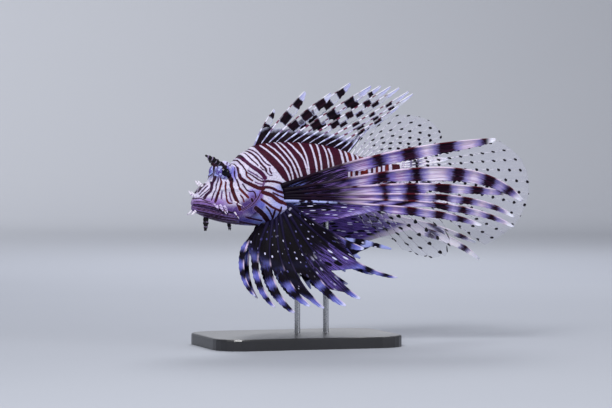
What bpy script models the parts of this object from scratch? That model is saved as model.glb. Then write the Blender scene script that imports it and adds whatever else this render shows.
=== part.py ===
"""Red lionfish (Pterois volitans), a life-size still model on a plain display stand.

The fish swims to -X with its left side towards -Y, head held a little low, fins spread.
The origin is the middle of the stand's underside. Sizes are in millimetres and become
metres where a mesh is made.
"""

import math

import bpy
import bmesh
import numpy as np
from mathutils import Matrix, Vector

MM = 0.001
GAP = 0.3  # between pieces that touch
EPS = 1e-9

# Driving dimensions of the fish, which is 150 mm long without its tail fin
SNOUT_X = -75.6
SNOUT_Z = 98.6
HYPURAL_X = 73.0
RING_SIDES = 32
RING_STEPS = 36
HEAD_END_X = -29.0
STALK_START_X = 42.0
EYE_X, EYE_Y, EYE_Z, EYE_RADIUS = -55.2, 8.7, 121.2, 5.4

# Body sections: distance along X, back, belly, half width, squareness above and below
SECTIONS = (
    (-75.2, 102.4, 95.6, 3.2, 2.0, 2.0),
    (-73.6, 106.6, 93.9, 6.0, 2.2, 2.1),
    (-70.7, 110.2, 92.2, 8.0, 2.4, 2.2),
    (-67.0, 113.2, 90.4, 9.4, 2.6, 2.3),
    (-63.3, 115.4, 89.0, 10.6, 2.8, 2.4),
    (-60.6, 119.4, 88.2, 11.4, 3.0, 2.4),
    (-57.8, 123.6, 87.4, 12.2, 3.2, 2.4),
    (-53.5, 125.6, 86.4, 13.2, 3.4, 2.5),
    (-47.0, 126.8, 85.3, 14.4, 3.0, 2.5),
    (-43.6, 130.6, 84.8, 15.0, 2.6, 2.5),
    (-40.6, 133.8, 84.5, 15.5, 2.4, 2.4),
    (-35.5, 136.6, 84.1, 16.2, 2.2, 2.4),
    (-31.0, 139.6, 83.9, 16.6, 2.1, 2.3),
    (-24.0, 141.4, 83.8, 16.9, 2.1, 2.2),
    (-10.0, 142.1, 86.2, 16.8, 2.0, 2.1),
    (6.0, 141.6, 92.2, 15.0, 2.0, 2.0),
    (22.0, 139.6, 98.8, 12.4, 2.0, 2.0),
    (38.0, 135.0, 105.6, 9.2, 2.0, 2.0),
    (54.0, 130.0, 111.2, 6.2, 2.0, 2.0),
    (66.0, 127.6, 113.2, 4.2, 2.0, 2.0),
    (73.0, 126.4, 114.0, 2.6, 2.0, 2.0),
)
WIDEST_SHARE = 0.46  # height of the widest level between belly and back

# Swellings of the skin: centre x, y, z, radius, height, and how far they rise straight up
# (1) or outwards (0). They are mirrored to both sides.
SWELLINGS = (
    (-57.6, 8.8, 121.6, 4.0, 5.6, 1.0),  # front of the bony brow
    (-53.0, 9.0, 122.4, 4.2, 5.0, 1.0),  # back of the bony brow
    (-61.4, 9.6, 117.8, 4.0, 2.4, 0.0),  # rim in front of the eye
    (-49.4, 11.0, 121.0, 4.2, 1.8, 0.0),  # rim behind the eye
    (-54.5, 12.6, 114.6, 4.6, 1.6, 0.0),  # ridge under the eye
    (-70.0, 6.6, 108.5, 2.8, 0.9, 0.0),  # nostril mound
    (-44.0, 14.4, 103.0, 7.0, 0.8, 0.0),  # cheek
)
LIP_HEIGHT, LIP_OFFSET, LIP_SPREAD = 0.9, 2.0, 1.5  # the lips, a ridge on each side of the mouth

MOUTH_START = (-80.0, 99.0)
MOUTH_END = (-47.0, 92.0)
JAW_FLOOR = 75.0
NOSTRILS = ((-68.6, 110.4, 0.8), (-66.2, 112.0, 0.65))  # x, height, radius

# Gill cover: height, front edge and rear edge along X
GILL_ROWS = (
    (122.5, -37.5, -33.5),
    (118.5, -40.2, -28.6),
    (112.5, -41.0, -26.4),
    (106.0, -41.0, -26.8),
    (100.0, -41.0, -29.4),
    (95.0, -41.0, -33.4),
    (91.0, -41.5, -37.5),
)
GILL_THICKNESS = 1.3

# Fin rays. Each row: root x, root height, angle at the root and at the tip in degrees
# (0 = towards the tail, 90 = up), how late the bend comes, length, share of the ray
# that the web to the next ray covers, and width of the free vane.
LEFT_PECTORAL = (
    (-13.4, 112.4, 23.5, 3, 0.9, 152, 0.24, 8.0),
    (-12.1, 109.2, 10.8, -53, 3.6, 174, 0.36, 9.6),
    (-11.4, 106.8, 6, -12, 2.0, 158, 0.58, 6.4),
    (-11.0, 105.0, 1, -38, 5.0, 162, 0.60, 5.2),
    (-11.0, 103.4, -1, -33, 4.0, 162, 0.58, 5.0),
    (-11.0, 101.8, -3, -25, 4.0, 138, 0.40, 5.4),
    (-11.0, 100.0, -38, -22, 1.6, 62, 0.66, 7.0),
    (-11.2, 98.2, -48, -12, 1.8, 93, 0.64, 3.6),
    (-12.0, 96.2, -64, -36, 1.9, 83, 0.78, 5.2),
    (-13.4, 94.2, -73, -38, 1.9, 81, 0.56, 6.0),
    (-15.2, 92.2, -91, -40, 1.5, 76, 0.80, 4.6),
    (-17.4, 90.3, -99, -40, 1.5, 71, 0.50, 5.8),
    (-19.8, 88.5, -109, -43, 1.6, 73, 0.40, 5.6),
    (-22.4, 86.9, -127, -50, 1.3, 68, 0.36, 4.6),
    (-25.0, 85.6, -151, -52, 1.2, 63, 0.30, 3.4),
)
RIGHT_PECTORAL = (
    (-13.4, 112.4, 14, 0, 1.0, 150, 0.30, 6.5),
    (-12.1, 109.2, 7, -20, 2.4, 160, 0.34, 8.0),
    (-11.4, 106.8, 3, -20, 2.4, 155, 0.50, 6.0),
    (-11.0, 105.0, -3, -20, 2.4, 140, 0.50, 5.0),
    (-11.0, 103.2, -8, -27, 4.0, 175, 0.80, 6.4),
    (-11.0, 101.4, -9, -44, 5.0, 186, 0.48, 6.4),
    (-11.2, 98.8, -38, -20, 1.8, 106, 0.46, 4.4),
    (-12.0, 96.6, -47, -28, 1.8, 96, 0.60, 5.0),
    (-13.4, 94.4, -57, -34, 1.8, 88, 0.50, 5.6),
    (-15.2, 92.3, -67, -38, 1.5, 82, 0.60, 4.6),
    (-17.4, 90.4, -76, -42, 1.4, 77, 0.46, 5.4),
    (-19.8, 88.6, -86, -46, 1.5, 73, 0.40, 5.2),
    (-22.4, 87.0, -98, -50, 1.2, 68, 0.34, 4.4),
    (-25.0, 85.7, -112, -52, 1.1, 62, 0.30, 3.4),
)
PELVIC = (
    (-17.0, 85.6, -88, -68, 1.5, 42, 0.60, 2.4),
    (-15.4, 85.8, -71, -55, 1.5, 52, 0.74, 4.0),
    (-13.8, 86.2, -57, -44, 1.5, 57, 0.80, 4.4),
    (-12.2, 86.7, -44, -33, 1.5, 57, 0.80, 4.4),
    (-10.6, 87.2, -32, -20, 1.5, 60, 0.80, 4.4),
    (-9.0, 87.8, -21, -9, 1.5, 77, 0.60, 3.6),
)
DORSAL_SPINES = (
    (-30.9, 138.6, 70, 54, 1.0, 30, 0.30, 4.4),
    (-25.8, 140.4, 53, 44, 1.0, 50, 0.24, 6.6),
    (-20.4, 141.2, 43, 34, 1.0, 57, 0.20, 6.8),
    (-14.7, 141.8, 41, 33, 1.0, 70, 0.18, 6.6),
    (-8.6, 142.0, 35, 30, 1.0, 74, 0.17, 5.6),
    (-2.4, 142.0, 32, 30, 1.0, 78, 0.16, 4.6),
    (3.8, 141.8, 32, 31, 1.0, 76, 0.16, 4.0),
    (9.9, 141.3, 30, 30, 1.0, 79, 0.16, 3.6),
    (16.0, 140.6, 28, 31, 1.0, 76, 0.17, 3.4),
    (22.0, 139.6, 27, 31, 1.0, 76, 0.18, 3.2),
    (27.8, 138.2, 30, 34, 1.0, 56, 0.26, 3.0),
    (33.2, 136.6, 38, 40, 1.0, 31, 0.50, 2.6),
    (38.2, 135.0, 50, 52, 1.0, 21, 0.70, 2.4),
)
SOFT_DORSAL = tuple(
    (x, z, angle + 4, angle - 4, 1.0, length, 1.0, 1.6)
    for x, z, angle, length in (
        (41.6, 133.8, 56, 25), (44.2, 133.0, 50, 34), (46.6, 132.3, 45, 41),
        (49.0, 131.6, 40, 46), (51.4, 130.9, 35.5, 50), (53.6, 130.2, 31, 53),
        (55.8, 129.6, 26.5, 54), (57.8, 129.0, 22.5, 54), (59.8, 128.6, 19, 52),
        (61.6, 128.2, 16, 48), (63.4, 127.9, 14, 41),
    )
)
ANAL = tuple(
    (x, z, angle - 4, angle + 4, 1.0, length, web, 1.8)
    for x, z, angle, length, web in (
        (37.0, 105.3, -70, 16, 0.72), (39.8, 106.4, -64, 27, 0.72),
        (42.6, 107.4, -58, 39, 0.80), (45.4, 108.3, -51.5, 54, 0.92),
        (48.2, 109.2, -48.5, 63, 0.94), (50.8, 110.1, -45.5, 71, 0.94),
        (53.4, 110.9, -41, 77, 0.94), (56.0, 111.6, -36.5, 74, 0.94),
        (58.6, 112.1, -31.5, 65, 0.94), (61.2, 112.5, -27, 50, 0.9),
    )
)
TAIL_RAYS = tuple(
    (HYPURAL_X, 125.6 - 1.0 * k, 12.4 - 4.15 * k, 11.4 - 4.15 * k, 1.0, length, 1.0, 2.0)
    for k, length in enumerate((82, 90, 97, 101, 103, 104, 103, 101, 98, 93, 88, 83))
)

# Stand
BASE_LENGTH, BASE_WIDTH, BASE_THICKNESS = 136.0, 92.0, 8.0
BASE_CORNER = 20.0
ROD_RADIUS = 2.0
ROD_PLACES = (("stand_rod_front", 1.0), ("stand_rod_rear", 22.0))


def rising_curve(points, xs):
    """Smooth curve through (x, y) points that doesn't overshoot them, read at xs."""
    px = np.array([p[0] for p in points], float)
    py = np.array([p[1] for p in points], float)
    step = np.diff(px)
    slope = np.diff(py) / step
    tangent = np.zeros(len(px))
    tangent[0], tangent[-1] = slope[0], slope[-1]
    for k in range(1, len(px) - 1):
        before, after = slope[k - 1], slope[k]
        if before * after > 0:
            a, b = 2 * step[k] + step[k - 1], step[k] + 2 * step[k - 1]
            tangent[k] = (a + b) / (a / before + b / after)
    xs = np.clip(xs, px[0], px[-1])
    k = np.clip(np.searchsorted(px, xs) - 1, 0, len(step) - 1)
    t = (xs - px[k]) / step[k]
    return (
        (1 + 2 * t) * (1 - t) ** 2 * py[k]
        + t * (1 - t) ** 2 * step[k] * tangent[k]
        + t * t * (3 - 2 * t) * py[k + 1]
        + t * t * (t - 1) * step[k] * tangent[k + 1]
    )


def section_at(x):
    """Back, belly, half width and the squareness above and below of the body at x."""
    return [
        float(rising_curve([(s[0], s[k]) for s in SECTIONS], np.array([x]))[0])
        for k in range(1, 6)
    ]


def half_width_at(x, z):
    """Half width of the body at x and height z, without its swellings."""
    top, bottom, half, above, below = section_at(x)
    level = bottom + (top - bottom) * WIDEST_SHARE
    height, power = (top - level, above) if z > level else (level - bottom, below)
    part = min(0.999, abs(z - level) / height)
    return half * (1 - part**power) ** (1 / power)


def lip_swell(x, z):
    """Height of the lips' ridge, which follows the line of the mouth on both sides of it."""
    (x0, z0), (x1, z1) = MOUTH_START, MOUTH_END
    run = math.hypot(x1 - x0, z1 - z0)
    off = abs((x - x0) * (z1 - z0) - (z - z0) * (x1 - x0)) / run
    fade = min(1.0, max(0.0, (MOUTH_END[0] - 4 - x) / 8))
    return LIP_HEIGHT * fade * math.exp(-((off - LIP_OFFSET) / LIP_SPREAD) ** 2)


def body_point(x, angle, grow=0.0):
    """Point of the body's surface; angle 0 is the back, pi/2 the fish's left side, pi the belly."""
    top, bottom, half, above, below = section_at(x)
    level = bottom + (top - bottom) * WIDEST_SHARE
    up, out = math.cos(angle), math.sin(angle)
    height, power = (top - level, above) if up >= 0 else (level - bottom, below)
    y = -math.copysign(abs(out) ** (2 / power), out) * (half + grow)
    z = level + math.copysign(abs(up) ** (2 / power), up) * (height + grow)
    point = Vector((x, y, z))
    outward = Vector((0, y / (half * half), (z - level) / (height * height)))
    if outward.length < EPS:
        return point
    outward.normalize()
    swollen = point + outward * lip_swell(point.x, point.z)
    for cx, cy, cz, radius, tall, upward in SWELLINGS:
        centre = Vector((cx, math.copysign(cy, y), cz))
        along = outward.lerp(Vector((0, 0, 1)), upward)
        swollen += along * tall * math.exp(-((point - centre).length / radius) ** 2)
    return swollen


def ring_places():
    """X of the body's rings, closer together at the snout."""
    share = np.linspace(0, 1, RING_STEPS)
    return SECTIONS[0][0] + (HYPURAL_X - SECTIONS[0][0]) * share**1.35


def link(name, mesh, collection, colour=None, roughness=0.5, metallic=0.0):
    """New object of this mesh in the collection, with its own material."""
    obj = bpy.data.objects.new(name, mesh)
    collection.objects.link(obj)
    if colour:
        material = bpy.data.materials.new(name)
        material.use_nodes = True
        shader = material.node_tree.nodes["Principled BSDF"]
        shader.inputs["Base Color"].default_value = (*colour, 1)
        shader.inputs["Roughness"].default_value = roughness
        shader.inputs["Metallic"].default_value = metallic
        mesh.materials.append(material)
    return obj


def mesh_from(bm, name):
    """Mesh in metres from a bmesh in millimetres, its faces turned outwards."""
    bmesh.ops.recalc_face_normals(bm, faces=bm.faces)
    bmesh.ops.scale(bm, vec=(MM, MM, MM), verts=bm.verts)
    mesh = bpy.data.meshes.new(name)
    bm.to_mesh(mesh)
    bm.free()
    return mesh


def body_bmesh(grow=0.0):
    """The whole body as one closed loft from snout to tail root."""
    bm = bmesh.new()
    rings = []
    for x in ring_places():
        moved = x + grow * (1 if x > HYPURAL_X - EPS else 0)
        ring = []
        for k in range(RING_SIDES):
            p = body_point(x, math.tau * k / RING_SIDES, grow)
            ring.append(bm.verts.new((moved, p.y, p.z)))
        rings.append(ring)
    for before, after in zip(rings, rings[1:]):
        for k in range(RING_SIDES):
            n = (k + 1) % RING_SIDES
            bm.faces.new((before[k], before[n], after[n], after[k]))
    snout = bm.verts.new((SNOUT_X - grow, 0, SNOUT_Z))
    for k in range(RING_SIDES):
        bm.faces.new((snout, rings[0][(k + 1) % RING_SIDES], rings[0][k]))
    bm.faces.new(rings[-1])
    bmesh.ops.triangulate(bm, faces=bm.faces)
    return bm


def keep_between(bm, low=None, high=None):
    """Cuts the closed bmesh at x = low and x = high and closes the cuts."""
    for x, side in ((low, -1), (high, 1)):
        if x is None:
            continue
        cut = bmesh.ops.bisect_plane(
            bm,
            geom=bm.verts[:] + bm.edges[:] + bm.faces[:],
            plane_co=(x, 0, 0),
            plane_no=(side, 0, 0),
            clear_outer=True,
        )
        edges = [e for e in cut["geom_cut"] if isinstance(e, bmesh.types.BMEdge)]
        bmesh.ops.edgeloop_fill(bm, edges=edges)
    return bm


def prism(outline, half_width):
    """Closed bmesh of an X-Z outline carried across Y."""
    bm = bmesh.new()
    near = [bm.verts.new((x, -half_width, z)) for x, z in outline]
    face = bm.faces.new(near)
    out = bmesh.ops.extrude_face_region(bm, geom=[face])
    moved = [v for v in out["geom"] if isinstance(v, bmesh.types.BMVert)]
    bmesh.ops.translate(bm, verts=moved, vec=(0, 2 * half_width, 0))
    return bm


def ball(x, y, z, radius, across=20, rings=12):
    """UV sphere with its poles to the sides."""
    bm = bmesh.new()
    bmesh.ops.create_uvsphere(bm, u_segments=across, v_segments=rings, radius=radius)
    turn = Matrix.Rotation(math.pi / 2, 4, "X")
    bmesh.ops.transform(bm, matrix=Matrix.Translation((x, y, z)) @ turn, verts=bm.verts)
    return bm


def thorn(start, end, radius, sides=6, tip=0.15):
    """Tapered peg from start to end."""
    start, end = Vector(start), Vector(end)
    bm = bmesh.new()
    bmesh.ops.create_cone(
        bm, cap_ends=True, segments=sides, radius1=radius, radius2=tip,
        depth=(end - start).length,
    )
    turn = (end - start).to_track_quat("Z", "Y").to_matrix().to_4x4()
    place = Matrix.Translation((start + end) / 2) @ turn
    bmesh.ops.transform(bm, matrix=place, verts=bm.verts)
    return bm


def combine(obj, other, operation, solver="EXACT"):
    """Adds a Boolean of this object, or of this collection of objects, to obj."""
    modifier = obj.modifiers.new(operation.title(), "BOOLEAN")
    modifier.operation = operation
    modifier.solver = solver
    if isinstance(other, bpy.types.Collection):
        modifier.operand_type = "COLLECTION"
        modifier.collection = other
    else:
        modifier.object = other


def bake_modifiers(obj):
    """Applies obj's modifiers and keeps its largest closed surface."""
    bpy.context.view_layer.update()
    depsgraph = bpy.context.evaluated_depsgraph_get()
    made = bpy.data.meshes.new_from_object(obj.evaluated_get(depsgraph))
    obj.modifiers.clear()
    bm = bmesh.new()
    bm.from_mesh(made)
    bmesh.ops.remove_doubles(bm, verts=bm.verts, dist=2e-6)
    bmesh.ops.triangulate(bm, faces=bm.faces)
    left, largest = set(bm.verts), set()
    while left:
        found, edge = set(), [left.pop()]
        while edge:
            vert = edge.pop()
            found.add(vert)
            for e in vert.link_edges:
                other = e.other_vert(vert)
                if other in left:
                    left.discard(other)
                    edge.append(other)
        if len(found) > len(largest):
            largest = found
    bmesh.ops.delete(bm, geom=[v for v in bm.verts if v not in largest], context="VERTS")
    bm.to_mesh(made)
    bm.free()
    materials = list(obj.data.materials)
    obj.data = made
    made.materials.clear()
    for material in materials:
        made.materials.append(material)
    return obj


def cutter(name, bm, cutters):
    """Hidden object that cuts others."""
    obj = link(name, mesh_from(bm, name), cutters)
    obj.hide_render = True
    obj.display_type = "WIRE"
    return obj


def side_of(name):
    """-1 for the fish's left, +1 for its right."""
    return 1 if name.endswith("right") else -1


def ray_shares(steps):
    """Places along a ray, closer together near its root and tip."""
    even = np.linspace(0, 1, steps + 1)
    return even - 0.3 * np.sin(math.tau * even) / math.tau


def ray_path(row, start, flare, sway, kick, steps, sunk):
    """Points from a ray's root to its tip, the root sunk into the body.

    flare is the angle away from the mid-plane, sway bows the ray outwards along its middle
    and kick turns it outwards at its root.
    """
    x, z, first, last, bend, length = row[:6]
    side = -1 if start < 0 else 1
    shares = ray_shares(steps)
    point = Vector((x, start, z))
    points = []
    for k in range(steps + 1):
        middle = (shares[k] + shares[k - 1]) / 2 if k else 0.0
        aim = math.radians(first + (last - first) * middle**bend)
        out = flare + sway * math.sin(math.pi * middle) + kick * math.exp(-middle / 0.06)
        flat = math.cos(math.radians(out))
        along = Vector((math.cos(aim) * flat, side * math.sin(math.radians(out)),
                        math.sin(aim) * flat))
        stride = length * (shares[k] - shares[k - 1]) if k else -sunk
        point = point + along * stride
        if k == 1:
            point = point + along * sunk
        points.append(point)
    return points


def vane_width(share, web, width):
    """Width of a ray's free vane: grows from the web, is widest past the middle, ends in a point."""
    rise = min(1.0, (share - web) / 0.12) if share > web else 0.0
    fall = math.sqrt(max(0.0, 1 - ((share - 0.55) / 0.46) ** 2)) if share > 0.55 else 1.0
    return max(0.35, width * (0.45 + 0.55 * rise) * fall)


def fin_sheet(paths, rows, steps, ridge, shoulder, skin, flesh, planar):
    """Triangulated sheet of a fin: points, triangles and half thickness of each point.

    Each ray has three columns: the ray itself, a shoulder beside it, and the far edge of its
    membrane, which is the next ray as far as the web goes and a free edge beyond it.
    """
    points, thick, index, triangles = [], [], {}, []

    def add(key, point, half):
        index[key] = len(points)
        points.append(point)
        thick.append(half)

    last = len(rows) - 1
    shares = ray_shares(steps)
    webbed = [int(np.abs(shares - row[6]).argmin()) for row in rows[:-1]] + [-1]
    for i, path in enumerate(paths):
        web, width = rows[i][6], rows[i][7]
        joined = webbed[i]
        for j, point in enumerate(path):
            share = shares[j]
            fleshy = flesh * max(0.0, 1 - share / 0.16) ** 1.5
            half = ridge[0] + (ridge[1] - ridge[0]) * share + fleshy
            add((i, 0, j), point, half)
            tangent = (path[min(j + 1, steps)] - path[max(j - 1, 0)]).normalized()
            if planar:
                aside = Vector((tangent.z, 0, -tangent.x)).normalized()
            else:
                other = paths[i + 1][j] - point if i < last else point - paths[i - 1][j]
                aside = other - tangent * other.dot(tangent)
                aside.normalize()
            free = vane_width(share, web, width)
            span = free
            if i < last:
                apart = paths[i + 1][j] - point
                span = (apart - tangent * apart.dot(tangent)).length
                if j > joined and not planar:
                    free = min(free, 0.86 * span)
            reach = span if j <= joined else free
            add((i, 1, j), point + aside * min(shoulder, 0.4 * reach), skin + fleshy * 1.2)
            if j > joined:
                add((i, 2, j), point + aside * free, skin + fleshy * 0.5)
    for i in range(len(paths)):

        def vertex(column, j):
            if column == 2 and j <= webbed[i]:
                return index[(i + 1, 0, j)]
            return index[(i, column, j)]

        for j in range(steps):
            for column in (0, 1):
                a, b = vertex(column, j), vertex(column + 1, j)
                c, d = vertex(column + 1, j + 1), vertex(column, j + 1)
                triangles += [(a, b, c), (a, c, d)]
    return points, triangles, thick


def make_fin(name, rows, nodes, body_cutter, colour, **shape):
    """A ray-ridged fin, its root cut to fit the body with a small gap."""
    steps, depth = shape["steps"], shape.get("depth")
    near, far = shape.get("flare", (0, 0))
    alternate = shape.get("alternate", 0.0)
    side = side_of(name)
    paths = []
    for i, row in enumerate(rows):
        share = min(1.0, max(0.0, (i / (len(rows) - 1) - 0.35) / 0.2))
        out = near + (far - near) * share + alternate * (1 if i % 2 else -1)
        start = side * (half_width_at(row[0], row[1]) - depth) if depth else 0.0
        paths.append(ray_path(row, start, out, shape.get("sway", 0.0), shape.get("kick", 0.0),
                              steps, shape["sunk"]))
    points, triangles, thick = fin_sheet(
        paths, rows, steps, shape["ridge"], shape["shoulder"], shape.get("skin", 0.26),
        shape.get("flesh", 0.0), shape.get("planar", False),
    )
    mesh = bpy.data.meshes.new(name)
    mesh.from_pydata([p * MM for p in points], [], triangles)
    fin = link(name, mesh, nodes, colour, 0.45)
    fullest = max(thick)
    group = fin.vertex_groups.new(name="thickness")
    for k, half in enumerate(thick):
        group.add([k], half / fullest, "REPLACE")
    solid = fin.modifiers.new("Thickness", "SOLIDIFY")
    solid.thickness = 2 * fullest * MM
    solid.offset = 0
    solid.vertex_group = group.name
    combine(fin, body_cutter, "DIFFERENCE", "MANIFOLD")
    return bake_modifiers(fin)


def make_body(nodes, cutters):
    """Head, lower jaw, torso and tail stalk, parted by thin cuts."""
    skin = (0.62, 0.42, 0.40)
    torso = link("torso", mesh_from(
        keep_between(body_bmesh(), HEAD_END_X + GAP / 2, STALK_START_X - GAP / 2), "torso"),
        nodes, skin)
    stalk = link("tail_stalk", mesh_from(
        keep_between(body_bmesh(), STALK_START_X + GAP / 2), "tail_stalk"), nodes, skin)
    front = keep_between(body_bmesh(), None, HEAD_END_X - GAP / 2)
    jaw_front = front.copy()
    head = link("head", mesh_from(front, "head"), nodes, skin)
    jaw = link("lower_jaw", mesh_from(jaw_front, "lower_jaw"), nodes, skin)
    for obj, slack, operation in ((head, GAP / 2, "DIFFERENCE"), (jaw, -GAP / 2, "INTERSECT")):
        outline = (
            (MOUTH_START[0], MOUTH_START[1] + slack), (MOUTH_END[0] + slack, MOUTH_END[1] + slack),
            (MOUTH_END[0] + slack, JAW_FLOOR), (MOUTH_START[0], JAW_FLOOR),
        )
        combine(obj, cutter("mouth_" + obj.name, prism(outline, 30), cutters), operation)
    for side in (-1, 1):
        socket = ball(EYE_X, side * EYE_Y, EYE_Z, EYE_RADIUS + GAP)
        combine(head, cutter(f"socket{side}", socket, cutters), "DIFFERENCE")
        for k, (x, z, radius) in enumerate(NOSTRILS):
            pit = ball(x, side * half_width_at(x, z), z, radius, across=8, rings=5)
            combine(head, cutter(f"nostril{side}_{k}", pit, cutters), "DIFFERENCE")
    bake_modifiers(head)
    bake_modifiers(jaw)
    return head, jaw, torso, stalk


def fuse(obj, pieces, name):
    """Joins small closed pieces to obj in one union."""
    extra = bpy.data.collections.new(name)
    bpy.context.scene.collection.children.link(extra)
    for k, bm in enumerate(pieces):
        link(f"{name}{k}", mesh_from(bm, name), extra)
    combine(obj, extra, "UNION")
    bake_modifiers(obj)
    for piece in list(extra.objects):
        bpy.data.objects.remove(piece)
    bpy.data.collections.remove(extra)


def add_head_flaps(head, jaw):
    """Nostril tentacles and cheek spines on the head, barbels on the lower jaw."""
    on_head, on_jaw = [], []
    for side in (-1, 1):
        on_head += [
            thorn((-68.4, side * 3.0, 110.4), (-71.6, side * 3.6, 114.8), 1.1, tip=0.35),
            thorn((-73.0, side * 2.6, 104.2), (-76.8, side * 3.0, 107.8), 0.8),
            thorn((-57.0, side * 10.5, 97.4), (-55.0, side * 14.6, 92.6), 1.3),
            thorn((-51.0, side * 12.6, 97.0), (-46.6, side * 16.4, 89.8), 1.4),
            thorn((-50.0, side * 13.6, 101.5), (-43.4, side * 17.0, 97.8), 1.3),
        ]
        on_jaw += [
            thorn((-72.6, side * 3.6, 95.4), (-77.2, side * 5.0, 92.0), 0.9, tip=0.3),
            thorn((-65.6, side * 2.4, 94.0), (-65.6, side * 2.6, 80.8), 1.5, tip=0.8),
            thorn((-49.2, side * 2.4, 88.8), (-48.6, side * 2.6, 81.0), 1.0, tip=0.5),
        ]
    fuse(head, on_head, "flap")
    fuse(jaw, on_jaw, "barbel")


def make_eyes(nodes):
    """Eyeballs, each in its socket."""
    for name in ("eye_left", "eye_right"):
        y = side_of(name) * EYE_Y
        eye = link(name, mesh_from(ball(EYE_X, y, EYE_Z, EYE_RADIUS), name), nodes,
                   (0.05, 0.04, 0.05), 0.15)
        eye.data.shade_smooth()


def make_gill_covers(nodes, body_cutter):
    """Gill covers, plates that lie on the cheek and end in a free rounded edge."""
    columns = 7
    for name in ("gill_cover_left", "gill_cover_right"):
        side = side_of(name)
        bm = bmesh.new()
        grid = []
        for z, front, rear in GILL_ROWS:
            line = []
            for k in range(columns):
                share = k / (columns - 1)
                x = front + (rear - front) * share
                lift = GAP + GILL_THICKNESS * (0.15 + 0.75 * share)
                line.append(bm.verts.new((x, side * (half_width_at(x, z) + lift), z)))
            grid.append(line)
        for low, high in zip(grid, grid[1:]):
            for k in range(columns - 1):
                bm.faces.new((low[k], low[k + 1], high[k + 1], high[k]))
        bmesh.ops.triangulate(bm, faces=bm.faces)
        bmesh.ops.recalc_face_normals(bm, faces=bm.faces)
        cover = link(name, mesh_from(bm, name), nodes, (0.66, 0.44, 0.46))
        solid = cover.modifiers.new("Thickness", "SOLIDIFY")
        solid.thickness = 2 * GILL_THICKNESS * MM
        solid.offset = 0
        combine(cover, body_cutter, "DIFFERENCE")
        bake_modifiers(cover)


def make_brow_tentacles(nodes, body_cutter):
    """Flat leafy tentacles that stand on the brows."""
    courses = {
        "brow_tentacle_left": ((-57.4, -8.8, 128.0), (-62.4, -10.2, 130.2), (-69.2, -11.6, 133.0)),
        "brow_tentacle_right": ((-57.4, 8.8, 128.0), (-59.0, 12.8, 130.6), (-58.7, 17.6, 132.0)),
    }
    for name, course in courses.items():
        a, b, c = (Vector(p) for p in course)
        bm = bmesh.new()
        rings, sides, count = [], 8, 8
        for j in range(count):
            t = j / (count - 1)
            centre = a * (1 - t) ** 2 + b * 2 * t * (1 - t) + c * t * t
            along = ((b - a) * (1 - t) + (c - b) * t).normalized()
            flat = along.cross(Vector((0, 1, 0))).normalized()
            across = along.cross(flat)
            broad = (1.5 + 0.35 * math.cos(t * 5 * math.pi)) * (1 - 0.55 * t)
            thin = 0.75 * (1 - 0.45 * t)
            rings.append([
                bm.verts.new(centre + flat * broad * math.cos(math.tau * k / sides)
                             + across * thin * math.sin(math.tau * k / sides))
                for k in range(sides)
            ])
        for low, high in zip(rings, rings[1:]):
            for k in range(sides):
                n = (k + 1) % sides
                bm.faces.new((low[k], low[n], high[n], high[k]))
        bm.faces.new(rings[0])
        bm.faces.new(rings[-1])
        bmesh.ops.triangulate(bm, faces=bm.faces)
        tentacle = link(name, mesh_from(bm, name), nodes, (0.20, 0.12, 0.10), 0.6)
        combine(tentacle, body_cutter, "DIFFERENCE")
        bake_modifiers(tentacle)


def make_fins(nodes, body_cutter):
    """All the fins, each from its table of rays."""
    pale, dark, clear = (0.72, 0.58, 0.66), (0.06, 0.05, 0.08), (0.75, 0.72, 0.78)
    paired = dict(ridge=(0.95, 0.32), shoulder=1.5, sunk=2.5, sway=3)
    for side, table in (("left", LEFT_PECTORAL), ("right", RIGHT_PECTORAL)):
        make_fin(f"pectoral_fin_{side}", table, nodes, body_cutter, pale, steps=12, flesh=1.5,
                 depth=0.8, flare=(9, 20), kick=24, **paired)
        make_fin(f"pelvic_fin_{side}", PELVIC, nodes, body_cutter, dark, steps=8, flesh=0.6,
                 depth=1.5, flare=(8, 12), kick=0, **paired)
    make_fin("dorsal_fin_spiny", DORSAL_SPINES, nodes, body_cutter, pale, steps=9,
             ridge=(1.1, 0.35), shoulder=1.3, alternate=3.4, sunk=2.0, planar=True)
    make_fin("dorsal_fin_soft", SOFT_DORSAL, nodes, body_cutter, clear, steps=6,
             ridge=(0.7, 0.3), shoulder=1.0, sunk=2.0)
    make_fin("anal_fin", ANAL, nodes, body_cutter, clear, steps=7,
             ridge=(0.8, 0.3), shoulder=1.1, sunk=2.0)
    make_fin("tail_fin", TAIL_RAYS, nodes, body_cutter, clear, steps=8,
             ridge=(0.9, 0.3), shoulder=1.2, sunk=2.0)


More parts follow.
